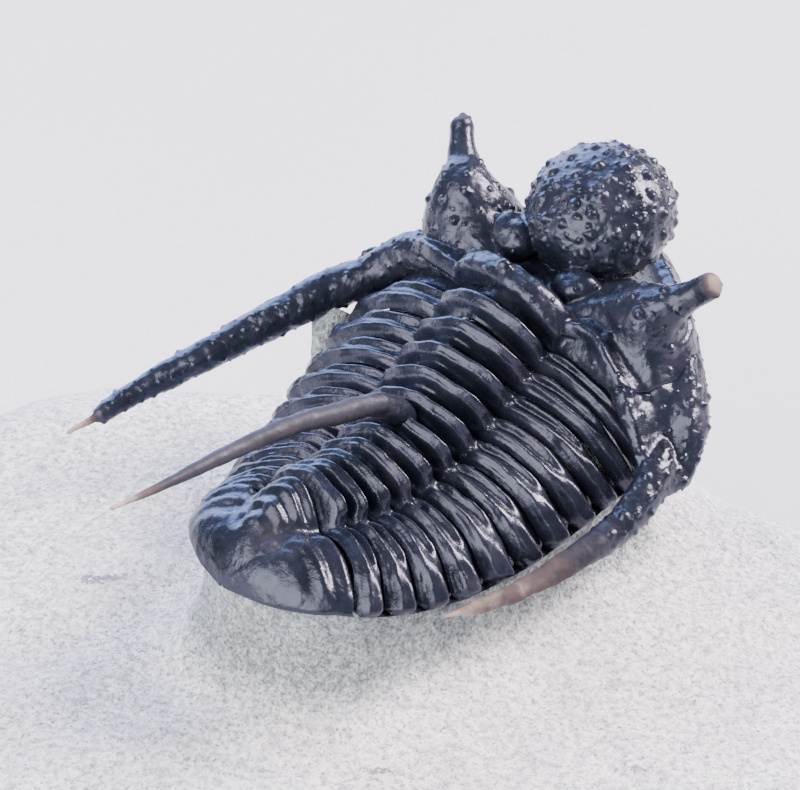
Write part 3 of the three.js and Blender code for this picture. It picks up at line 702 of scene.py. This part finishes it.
# %% Free cheeks
RIGHT_SPINE = [[5.9, 5.9, -0.25], [6.25, 5.3, -0.2], [6.8, 4.2, -0.4], [7.02, 3.4, -0.75], [7.05, 2.5, -1.1],
               [6.75, 1.15, -1.5], [6.05, -0.7, -2.0], [5.15, -2.5, -2.3], [4.36, -3.8, -2.4]]
RIGHT_RADII = [0.3, 0.5, 0.6, 0.6, 0.55, 0.47, 0.37, 0.26, 0.08]
LEFT_SPINE = [[-6.0, 7.0, 0.3], [-7.1, 5.82, -0.28], [-7.87, 4.59, -0.74],
              [-8.79, 3.17, -1.27], [-9.45, 1.93, -1.72], [-10.32, 0.72, -2.23], [-11.02, -0.56, -2.75],
              [-11.24, -1.1, -2.92], [-11.34, -1.36, -2.99], [-11.75, -2.2, -3.24]]
LEFT_RADII = [0.66, 0.68, 0.62, 0.57, 0.52, 0.46, 0.38, 0.31, 0.16, 0.05]
LEFT_ROOT = [[-3.3, 0.1, -0.55], [-4.3, 0.22, -0.65], [-5.3, 0.25, -0.95]]
LEFT_ROOT_RADII = [0.46, 0.64, 0.7]
WARTS_UP_TO = {1: 0.62, -1: 0.85}
WART_SHARE = {1: 1, -1: 0.75}


def cheek_sheet(side):
    """The head's vault between the suture and the outline, as a closed sheet."""
    y = np.linspace(HEAD_BACK + 0.22, 3.17, 80)[:, None]
    u = np.linspace(0, 1, 70)[None, :]
    inner = suture_half(y) - 0.5
    outer = np.maximum(outline_half(y), inner + 0.58)
    x = inner + (outer - inner) * u
    sunk = 0.2 * (1 - smooth_step(0.35, 0.62, x - inner))
    return head_world(sheet_loops(side * x, np.broadcast_to(y, x.shape), sunk))


def free_cheek(side, route, radii, name, node, seed, tint):
    """Sheet and spine fused, then warts up to a share of the way along; side is 1 right, -1 left."""
    path = np.array(route) + MIDDLE_PLACE
    if side < 0:
        path, radii = np.vstack([head_world(np.array(LEFT_ROOT)), path]), LEFT_ROOT_RADII + radii
    parts = [closed_parts(cheek_sheet(side)), closed_parts(tapered_tube(path, radii, 160))]
    points, normals, quads = fused(parts, CHEEK_VOXEL, 5)
    rng = np.random.default_rng(seed)
    along = smooth_path(path, 60)
    way = np.argmin(((points[:, None, :] - along[None]) ** 2).sum(2), axis=1) / 59
    warts = spread_on(points, 0.4, rng, way < WARTS_UP_TO[side])
    sizes = rng.uniform(0.07, 0.19, len(warts)) * WART_SHARE[side]
    points = raised(points, normals, warts, sizes, sizes * 0.5)
    points = roughened(roughened(points, normals, 0.8, 0.05), normals, 0.3, 0.02)
    piece = mesh_from(name, points, quads)
    tinted(piece, np.interp(way, *tint))
    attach(piece, "root")
    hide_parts(node)
    print(name, len(quads), "quads and", len(warts), "warts")
    return piece


right_cheek = free_cheek(1, RIGHT_SPINE, RIGHT_RADII, "right_cheek", "right_free_cheek", 21,
                         [[0.55, 0.8, 0.93, 1], [0, 0.42, 0.6, 0.9]])
left_cheek = free_cheek(-1, LEFT_SPINE, LEFT_RADII, "left_cheek", "left_free_cheek", 22,
                        [[0.78, 0.88, 0.93, 1], [0, 0.12, 0.55, 0.8]])

# %% [markdown]
# ## Limestone
# The block was cleaned with a jet of fine powder, which leaves a soft, sugary surface and a steep
# pedestal under the animal. The rock is one closed surface: rays leave a point under the animal, climb
# down the pedestal's wall, run out over the dome, round the block's edge and come back underneath.
# Along each ray a smooth path passes through the same kinds of places, so the grid follows the wall.

# %% Rock's plan and dome
BLOCK_LENGTH, BLOCK_WIDTH, BLOCK_TOP = 40, 48, 11.8
DOME_RISE, DOME_CENTRE, BACK_DIP = 1.8, (1, 5), 1.3


def dome_height(x, y):
    """A shallow bowl turned over, with three slow waves, and a dip at the back on the left."""
    away2 = ((x - DOME_CENTRE[0]) / BLOCK_WIDTH) ** 2 + ((y - DOME_CENTRE[1]) / BLOCK_LENGTH) ** 2
    lumps = 0.16 * np.sin(0.55 * x + 1.3) * np.cos(0.47 * y) + 0.09 * np.sin(1.15 * x - 0.8 * y + 0.6)
    dip = BACK_DIP * smooth_step(6, 15, y) * smooth_step(-24, -14, x) * (1 - smooth_step(-8, 4, x))
    return BLOCK_TOP - DOME_RISE * 4 * away2 - dip + lumps + 0.05 * np.sin(2.3 * y + 0.9 * x)


SHOULDER_STOPS = [0.72, 0.8, 0.87, 0.94, 0.98, 1.0]
SHOULDER_LEVELS = [1, 0.985, 0.945, 0.83, 0.66, 0.42]


def block_edge(turn):
    """The block's outline: an oval with squared corners and two slow lobes."""
    lobes = 1 + 0.035 * np.sin(2 * turn + 0.7) + 0.025 * np.sin(3 * turn - 0.4)
    squared = (np.cos(turn) ** 4 + np.sin(turn) ** 4) ** -0.13
    reach = 0.93 * lobes * squared
    return np.stack([BLOCK_WIDTH / 2 * reach * np.cos(turn), BLOCK_LENGTH / 2 * reach * np.sin(turn)], -1)


def shoulder(plan):
    """How the block's top falls towards its edge: 1 inside, then less with the share of the reach."""
    turn = np.arctan2(plan[:, 1] / BLOCK_LENGTH, plan[:, 0] / BLOCK_WIDTH)
    reach = np.linalg.norm(plan, axis=1) / np.linalg.norm(block_edge(turn), axis=1)
    return np.interp(reach, SHOULDER_STOPS, SHOULDER_LEVELS)


# %% Pedestal's rim
def rock_rim():
    """Places just under the edge of the shell: tips of the body plates, tail, and both sides of the head."""
    stations = np.linspace(1.0, 11.2, 30)

    def tips(q):
        across = np.full(len(stations), q)
        flat = section(stations, across) - section_normal(stations, across) * 0.4
        return to_world(stations, flat)

    turns = np.radians(np.linspace(-62, 62, 24))
    tail_rim = tail_point(-0.9 * np.sin(turns), np.radians(74 * np.cos(turns)), np.full(24, -0.4))
    y = np.linspace(0, 3.8, 14)
    half = 0.56 * outline_half(y)
    low = np.full(14, HEAD_CREST - HEAD_DROP)
    left, right = (head_world(np.stack([side * half, y, low], -1)) for side in (-1, 1))
    return np.vstack([tips(0.93), tail_rim, tips(-0.93)[::-1], left, right[::-1]])


RIM = rock_rim()
RAY_START = RIM[:, :2].mean(0)
TURNS = np.linspace(0, 2 * np.pi, 440, endpoint=False)
print("rays leave from", RAY_START.round(2), "and the rim's top is at", RIM[:, 2].max().round(2), "mm")


def along_rays(plan, values):
    """Values known round a closed curve, read off at the rays' directions from the rays' start."""
    angle = np.arctan2(plan[:, 1] - RAY_START[1], plan[:, 0] - RAY_START[0])
    order = np.argsort(angle)
    angle, values = angle[order], values[order]
    angle = np.concatenate([angle - 2 * np.pi, angle, angle + 2 * np.pi])
    values = np.concatenate([values, values, values])
    turns = (TURNS + np.pi) % (2 * np.pi) - np.pi
    spread = np.linspace(-0.05, 0.05, 7)
    return sum(np.interp(turns + s, angle, values) for s in spread) / len(spread)


# %% Rock's paths
UNDER_SHELL = 14.6
WALL_STOPS = [(0.0, 0.03), (0.12, 0.22), (0.24, 0.46), (0.5, 0.7), (1.1, 0.86), (2.3, 0.96), (4.0, 1.0)]
SIDE_STOPS = [(0.997, 0.4), (0.985, 0.14), (0.95, 0.0)]


def at(plan, z):
    """Places from their plan and their height."""
    return np.concatenate([plan, np.broadcast_to(z, plan.shape[:1])[:, None]], -1)


def on_top(plan):
    """Places on the block's rounded top."""
    return at(plan, dome_height(plan[:, 0], plan[:, 1]) * shoulder(plan))


def rock_stops():
    """Each ray's stops: under the animal, down the wall, over the dome, round the edge, underneath."""
    way = np.stack([np.cos(TURNS), np.sin(TURNS)], -1)
    rim_reach = along_rays(RIM[:, :2], np.linalg.norm(RIM[:, :2] - RAY_START, axis=1))
    rim_z = along_rays(RIM[:, :2], RIM[:, 2])
    edge = block_edge(np.linspace(0, 2 * np.pi, 1440, endpoint=False))
    edge_reach = along_rays(edge, np.linalg.norm(edge - RAY_START, axis=1))

    def out_to(reach):
        return RAY_START + way * reach[:, None]

    stops = [at(np.broadcast_to(RAY_START, way.shape), UNDER_SHELL)]
    for share in (0.35, 0.7, 0.93):
        stops.append(at(out_to(rim_reach * share), UNDER_SHELL + (rim_z - UNDER_SHELL) * share - 0.1))
    room = np.clip((0.88 * edge_reach - rim_reach) / 4.2, 0.3, 1)
    for out, down in WALL_STOPS:
        place = on_top(out_to(rim_reach + out * room))
        stops.append(at(place[:, :2], rim_z + (place[:, 2] - rim_z) * down))
    foot = rim_reach + WALL_STOPS[-1][0] * room
    turn_in = np.maximum(0.8 * edge_reach, foot + 0.35 * (edge_reach - foot))
    stops += [on_top(out_to(foot + (turn_in - foot) * share)) for share in (0.3, 0.65, 1.0)]
    stops += [on_top(out_to(turn_in + (edge_reach - turn_in) * share)) for share in (0.4, 0.7, 0.9)]
    for reach, level in SIDE_STOPS:
        plan = reach * out_to(edge_reach)
        stops.append(at(plan, level * dome_height(plan[:, 0], plan[:, 1])))
    return np.array(stops)


# %% [markdown]
# ### The rock's skin
# The stops are joined into smooth paths and divided into rows of equal length, so no part of the grid is
# stretched thin. Slow swells and small lumps then move the skin, more on the steep wall, which the jet
# left rough, and not at all on the sawn underside.

# %% Rock's surface
def even_rows(path, rows):
    """Each ray's smooth path through its stops, measured out in rows of equal length."""
    fine = smooth_path(path, 1400)
    length = np.linalg.norm(np.diff(fine, axis=0), axis=2)
    travelled = np.vstack([np.zeros(path.shape[1]), np.cumsum(length, axis=0)])
    where = np.linspace(0, 1, rows)
    rays = [
        np.stack([np.interp(where * along[-1], along, ray[:, k]) for k in range(3)], -1)
        for along, ray in zip(travelled.T, fine.transpose(1, 0, 2))
    ]
    return np.maximum(np.stack(rays, axis=1), [-np.inf, -np.inf, 0])


def outward_of(points, tris):
    """Each point's outward direction: the sum of its triangles' cross products, made one long."""
    face = np.cross(points[tris[:, 1]] - points[tris[:, 0]], points[tris[:, 2]] - points[tris[:, 0]])
    total = np.zeros_like(points)
    for k in range(3):
        np.add.at(total, tris[:, k], face)
    return total / np.maximum(np.linalg.norm(total, axis=1, keepdims=True), 1e-9)


points, tris = closed_parts(even_rows(rock_stops(), 205))
outward = outward_of(points, tris)
off_floor = smooth_step(0.05, 1.2, points[:, 2])
swell = lattice_noise(points, 2.6, 4) * 0.05 + lattice_noise(points + 50, 0.4, 2) * 0.035
points = points + outward * ((swell - 0.12) * off_floor)[:, None]
wall = smooth_step(0.1, 1.3, points[:, 2] - dome_height(points[:, 0], points[:, 1]))
points = points + outward * (wall * lattice_noise(points * [1, 1, 0.55], 0.34, 3) * 0.055)[:, None]
points[:, 2] = np.maximum(points[:, 2], 0)
print("rock's lowest and highest place in mm:", points[:, 2].min().round(2), points[:, 2].max().round(2))

# %% [markdown]
# ### Web of rock
# The preparator left a thin web of rock under the left cheek spine, which keeps it from breaking off. It
# is a tube that narrows in its middle, and it belongs to the rock.

# %% Web of rock under the left spine
WEB = [[-7.0, 5.85, -0.95], [-6.95, 5.35, -1.45], [-6.7, 4.8, -2.0], [-6.2, 4.3, -2.5], [-5.6, 3.9, -3.0]]
WEB_RADII = [0.75, 0.45, 0.34, 0.45, 0.8]
web = closed_parts(tapered_tube(np.array(WEB) + MIDDLE_PLACE, WEB_RADII, 50, knobs=0.03))
rock = mesh_from("limestone_block", *merged([(points, tris), web]))
# The wall value, 1 all over the web, later sets both the extra specks and the painted grey-green shade on the
# rock's wall.
steep = rock.data.attributes.new("wall", "FLOAT", "POINT")
steep.data.foreach_set("value", np.append(wall, np.ones(len(web[0]))).astype(np.float32))
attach(rock, "root")
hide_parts("matrix")
print("rock:", len(rock.data.polygons), "triangles")

# %% [markdown]
# ## Materials
# Colours are picked as sRGB hex values and turned linear by one function. One more function adds a node.
# The noise patterns read the Object coordinates, which are metres here, so a scale is written as a number
# of features to the millimetre, divided by the length of a millimetre.

# %% Node helpers
def linear(hex_colour):
    """sRGB to linear: (c / 12.92) for dark values, else ((c + 0.055) / 1.055) to the power 2.4."""
    values = [int(hex_colour[i : i + 2], 16) / 255 for i in (1, 3, 5)]
    return tuple(v / 12.92 if v <= 0.04045 else ((v + 0.055) / 1.055) ** 2.4 for v in values) + (1.0,)


def add_node(tree, kind, settings=None, stops=(), **inputs):
    """One node. An input is linked where it is given an output, and set where it is given a value."""
    node = tree.nodes.new(kind)
    for key, value in (settings or {}).items():
        setattr(node, key, value)
    for i, (place, colour) in enumerate(stops):
        stop = node.color_ramp.elements[i] if i < 2 else node.color_ramp.elements.new(place)
        stop.position, stop.color = place, linear(colour)
    for key, value in inputs.items():
        socket = node.inputs[int(key[-1]) if key.startswith("input") else key.replace("_", " ")]
        if isinstance(value, bpy.types.NodeSocket):
            tree.links.new(value, socket)
        else:
            socket.default_value = value
    return node


def new_material(name):
    """An empty node material, its Principled shader, and its Object coordinates."""
    material = bpy.data.materials.new(name)
    material.use_nodes = True
    tree = material.node_tree
    place = add_node(tree, "ShaderNodeTexCoord").outputs["Object"]
    return material, tree, tree.nodes["Principled BSDF"], place


# %% [markdown]
# ## Black calcite
# The shell was replaced by dense black calcite and polished by the preparation. It is nearly black and
# blue-black, with brown where it is thin. Its life comes from the gloss, which changes from place to
# place, and from a ripple and a grain in the surface, drawn coarser than the real ones so that they
# show. The tips of horns and spines are worn, paler and duller.
# Object coordinates give one unbroken pattern over all the plates, and a number stored on each point
# says where the tips are.

# %% Black calcite shell
def calcite():
    """Blue-black mottling, mixed with worn brown by the stored tint; uneven gloss; grain and ripple."""
    material, tree, shader, place = new_material("black_calcite")
    mottle = add_node(tree, "ShaderNodeTexNoise", Vector=place, Scale=0.7 / MM, Detail=6, Roughness=0.62)
    black = add_node(tree, "ShaderNodeValToRGB", Fac=mottle.outputs["Fac"],
                     stops=[(0.3, "#0e1018"), (0.55, "#181b26"), (0.78, "#2b2a34")])
    tint = add_node(tree, "ShaderNodeAttribute", {"attribute_name": "tint"}).outputs["Fac"]
    spread = add_node(tree, "ShaderNodeTexNoise", Vector=place, Scale=1.8 / MM, Detail=4, Roughness=0.6)
    half = add_node(tree, "ShaderNodeMath", {"operation": "MULTIPLY"}, input0=tint, input1=0.55)
    uneven = add_node(tree, "ShaderNodeMath", {"operation": "MULTIPLY_ADD"},
                      input0=spread.outputs["Fac"], input1=tint, input2=half.outputs["Value"])
    worn = add_node(tree, "ShaderNodeValToRGB", Fac=uneven.outputs["Value"],
                    stops=[(0.2, "#1f1a1b"), (0.45, "#4a3d3b"), (0.8, "#a08f84")])
    how_worn = add_node(tree, "ShaderNodeMapRange", Value=uneven.outputs["Value"], From_Max=0.3)
    colour = add_node(tree, "ShaderNodeMix", {"data_type": "RGBA"}, Factor=how_worn.outputs["Result"],
                      A=black.outputs["Color"], B=worn.outputs["Color"])
    tree.links.new(colour.outputs["Result"], shader.inputs["Base Color"])
    gloss = add_node(tree, "ShaderNodeTexNoise", Vector=place, Scale=1.9 / MM, Detail=5, Roughness=0.6)
    rough = add_node(tree, "ShaderNodeMapRange", Value=gloss.outputs["Fac"],
                     From_Min=0.3, From_Max=0.7, To_Min=0.18, To_Max=0.36)
    duller = add_node(tree, "ShaderNodeMath", {"operation": "MULTIPLY_ADD"},
                      input0=how_worn.outputs["Result"], input1=0.5, input2=rough.outputs["Result"])
    tree.links.new(duller.outputs["Value"], shader.inputs["Roughness"])
    grain = add_node(tree, "ShaderNodeTexNoise", Vector=place, Scale=3.6 / MM, Detail=4, Roughness=0.6)
    fine = add_node(tree, "ShaderNodeBump", Height=grain.outputs["Fac"], Strength=0.3, Distance=0.06 * MM)
    ripple = add_node(tree, "ShaderNodeBump", Height=mottle.outputs["Fac"], Normal=fine.outputs["Normal"],
                      Strength=0.35, Distance=0.25 * MM)
    tree.links.new(ripple.outputs["Normal"], shader.inputs["Normal"])
    shader.inputs["IOR"].default_value = 1.5
    shader.inputs["Specular Tint"].default_value = linear("#cfd5f2")
    return material


shell = calcite()
for piece in plates + [tail, cranidium, right_cheek, left_cheek]:
    piece.data.materials.append(shell)
print("shell's material:", shell.name)

# %% [markdown]
# ## Powder-cleaned limestone
# The rock is pale and quite matt, because a jet of fine powder has eaten its surface into tiny pits. The
# eye sees soft lavender-grey mottling a quarter of a millimetre across, and darker specks where the pits
# are, with more of them on the pedestal's wall, which the jet left rougher. That wall also gets painted
# shade: a grey-green multiply darkens it under the animal. A few thin dark marks lie in the top. Each is a
# stretched ball of colour whose coordinates the noise has stirred. The real grain of the rock is finer
# than a pixel, so it is drawn as coarse as it needs to show.

# %% Limestone
# Each mark: its place in mm, its turn in degrees, and its half length and half width in mm
MARKS = [(-9.8, -0.45, 11.6, 34, 1.2, 0.24), (3.3, -3.3, 11.7, 25, 0.7, 0.14), (9.6, 1.6, 11.5, 10, 0.5, 0.1)]
STIR = 1.2 * MM


def marked(tree, place, mottle, colour):
    """The colour darkened inside each stretched ball, with the place moved by the noise's own colour."""
    stirred = add_node(tree, "ShaderNodeVectorMath", {"operation": "MULTIPLY_ADD"},
                       input0=mottle.outputs["Color"], input1=(STIR,) * 3, input2=place)
    for x, y, z, turn, half_length, half_width in MARKS:
        ball = add_node(tree, "ShaderNodeMapping", {"vector_type": "TEXTURE"},
                        Vector=stirred.outputs["Vector"],
                        Location=[c * MM + STIR / 2 for c in (x, y, z)], Rotation=(0, 0, math.radians(turn)),
                        Scale=(half_length * MM, half_width * MM, MM))
        core = add_node(tree, "ShaderNodeTexGradient", {"gradient_type": "SPHERICAL"},
                        Vector=ball.outputs["Vector"])
        depth = add_node(tree, "ShaderNodeMapRange", Value=core.outputs["Fac"], From_Max=0.4, To_Max=0.9)
        colour = add_node(tree, "ShaderNodeMix", {"data_type": "RGBA"}, Factor=depth.outputs["Result"],
                          A=colour, B=linear("#6f6d7c")).outputs["Result"]
    return colour


def limestone_material():
    """Soft clouds, mottling, specks that thicken on the wall, painted grey-green shade on the wall, marks,
    and a pitted grain.
    """
    material, tree, shader, place = new_material("powder_cleaned_limestone")
    wall = add_node(tree, "ShaderNodeAttribute", {"attribute_name": "wall"}).outputs["Fac"]
    cloud = add_node(tree, "ShaderNodeTexNoise", Vector=place, Scale=0.26 / MM, Detail=8, Roughness=0.65)
    base = add_node(tree, "ShaderNodeValToRGB", Fac=cloud.outputs["Fac"],
                    stops=[(0.3, "#d6d7dc"), (0.5, "#e9e8ea"), (0.72, "#f7f6f5")])
    mottle = add_node(tree, "ShaderNodeTexNoise", Vector=place, Scale=4.2 / MM, Detail=3, Roughness=0.7)
    patches = add_node(tree, "ShaderNodeMapRange", Value=mottle.outputs["Fac"],
                       From_Min=0.4, From_Max=0.64, To_Max=0.85)
    mottled = add_node(tree, "ShaderNodeMix", {"data_type": "RGBA"}, Factor=patches.outputs["Result"],
                       A=base.outputs["Color"], B=linear("#9493a3"))
    speck = add_node(tree, "ShaderNodeTexNoise", Vector=place, Scale=9.5 / MM, Detail=2, Roughness=0.6)
    least = add_node(tree, "ShaderNodeMapRange", Value=wall, To_Min=0.56, To_Max=0.42)
    holes = add_node(tree, "ShaderNodeMapRange", Value=speck.outputs["Fac"],
                     From_Min=least.outputs["Result"], From_Max=0.72, To_Max=0.8)
    specked = add_node(tree, "ShaderNodeMix", {"data_type": "RGBA"}, Factor=holes.outputs["Result"],
                       A=mottled.outputs["Result"], B=linear("#54555c"))
    # Painted shade: on the pedestal's wall and on the web, a grey-green multiply darkens the colour under the
    # animal.
    painted_wall_shade = add_node(tree, "ShaderNodeMapRange", Value=wall, To_Max=0.8)
    shaded_wall = add_node(tree, "ShaderNodeMix", {"data_type": "RGBA", "blend_type": "MULTIPLY"},
                       Factor=painted_wall_shade.outputs["Result"], A=specked.outputs["Result"], B=linear("#93a4a3"))
    tree.links.new(marked(tree, place, mottle, shaded_wall.outputs["Result"]), shader.inputs["Base Color"])
    grain = add_node(tree, "ShaderNodeTexNoise", Vector=place, Scale=5.2 / MM, Detail=4, Roughness=0.65)
    pits = add_node(tree, "ShaderNodeBump", {"invert": True}, Height=holes.outputs["Result"],
                    Strength=0.5, Distance=0.12 * MM)
    sugar = add_node(tree, "ShaderNodeBump", Height=grain.outputs["Fac"], Normal=pits.outputs["Normal"],
                     Strength=0.8, Distance=0.16 * MM)
    tree.links.new(sugar.outputs["Normal"], shader.inputs["Normal"])
    shader.inputs["Roughness"].default_value = 0.92
    return material


limestone = limestone_material()
rock.data.materials.append(limestone)
print("rock's material:", limestone.name)

# %% [markdown]
# ## Floor, light and camera
# A plain floor of pale card carries the block. The camera looks down from behind and from the right of
# the animal. Its lens is long, so near and far parts keep nearly the same scale, as in close-up work.

# %% Floor
mesh = bpy.data.meshes.new("floor")
FLOOR_HALF = 2000
corners = np.array([[-1, -1, 0], [1, -1, 0], [1, 1, 0], [-1, 1, 0]]) * FLOOR_HALF * MM
mesh.from_pydata(corners.tolist(), [], [(0, 1, 2, 3)])
floor = bpy.data.objects.new("floor", mesh)
bpy.context.scene.collection.objects.link(floor)
card, tree, shader, place = new_material("pale_floor")
cloud = add_node(tree, "ShaderNodeTexNoise", Vector=place, Scale=0.03 / MM, Detail=6, Roughness=0.6)
pale = add_node(tree, "ShaderNodeValToRGB", Fac=cloud.outputs["Fac"],
                stops=[(0.35, "#c6c6c9"), (0.65, "#cccccd")])
tree.links.new(pale.outputs["Color"], shader.inputs["Base Color"])
shader.inputs["Roughness"].default_value = 0.8
mesh.materials.append(card)
print("floor's material:", card.name)

# %% Camera
SIDEWAYS, ABOVE = math.radians(35.909), math.radians(36.134)
PIXELS_PER_MM, WIDTH_PIXELS = 31.768, 800
RIGHT = np.array([math.cos(SIDEWAYS), math.sin(SIDEWAYS), 0])
AHEAD = np.array([-math.sin(SIDEWAYS), math.cos(SIDEWAYS), 0])
UPWARD = math.sin(ABOVE) * AHEAD + np.array([0, 0, math.cos(ABOVE)])
BACK = np.cross(RIGHT, UPWARD)
LENS, SENSOR = 400, 36
distance = WIDTH_PIXELS * LENS / (SENSOR * PIXELS_PER_MM)
AIM_RIGHT, AIM_UP = -0.0666, 1.642
aim = MIDDLE_PLACE + AIM_RIGHT * RIGHT + AIM_UP * UPWARD
camera = bpy.data.objects.new("camera", bpy.data.cameras.new("camera"))
bpy.context.scene.collection.objects.link(camera)
camera.data.lens, camera.data.sensor_width = LENS, SENSOR


def placed(right, upward, back, place):
    """The matrix of an object whose three axes and place, in mm, are given."""
    matrix = Matrix(np.stack([right, upward, back], -1).tolist()).to_4x4()
    matrix.translation = (place * MM).tolist()
    return matrix


camera.matrix_world = placed(RIGHT, UPWARD, BACK, aim + distance * BACK)
camera.data.clip_start = 0.01
bpy.context.scene.camera = camera
print("camera", round(distance), "mm away")

# %% [markdown]
# ### Light
# A black, glossy thing shows its form only in what it mirrors, so each lamp is a soft square. The key
# stands high beyond the head. A wide, cooler one gives flat places that face left their blue sheen. The
# last one lights the rock's near side.

# %% Light
def soft_light(name, direction, away, size, watts, colour):
    """A square lamp so many mm away in a direction, turned to face the animal."""
    lamp = bpy.data.objects.new(name, bpy.data.lights.new(name, "AREA"))
    bpy.context.scene.collection.objects.link(lamp)
    lamp.data.size, lamp.data.energy, lamp.data.color = size * MM, watts, linear(colour)[:3]
    back = np.array(direction) / np.linalg.norm(direction)
    right = np.cross([0, 0, 1], back)
    right /= np.linalg.norm(right)
    lamp.matrix_world = placed(right, np.cross(back, right), back, MIDDLE_PLACE + back * away)
    print(name, "lamp:", watts, "W")


soft_light("key", [0.433, 0.654, 0.62], 450, 200, 10.0, "#fff0ee")
soft_light("side", [-0.72, 0.5, 0.4], 500, 460, 7.0, "#a9c2ff")
soft_light("front", [-0.2, -0.92, 0.5], 500, 500, 9.0, "#fff8f6")
world = bpy.data.worlds.new("studio")
world.use_nodes = True
sky = world.node_tree.nodes["Background"]
sky.inputs["Color"].default_value = linear("#d0d4de")
sky.inputs["Strength"].default_value = 0.5
bpy.context.scene.world = world
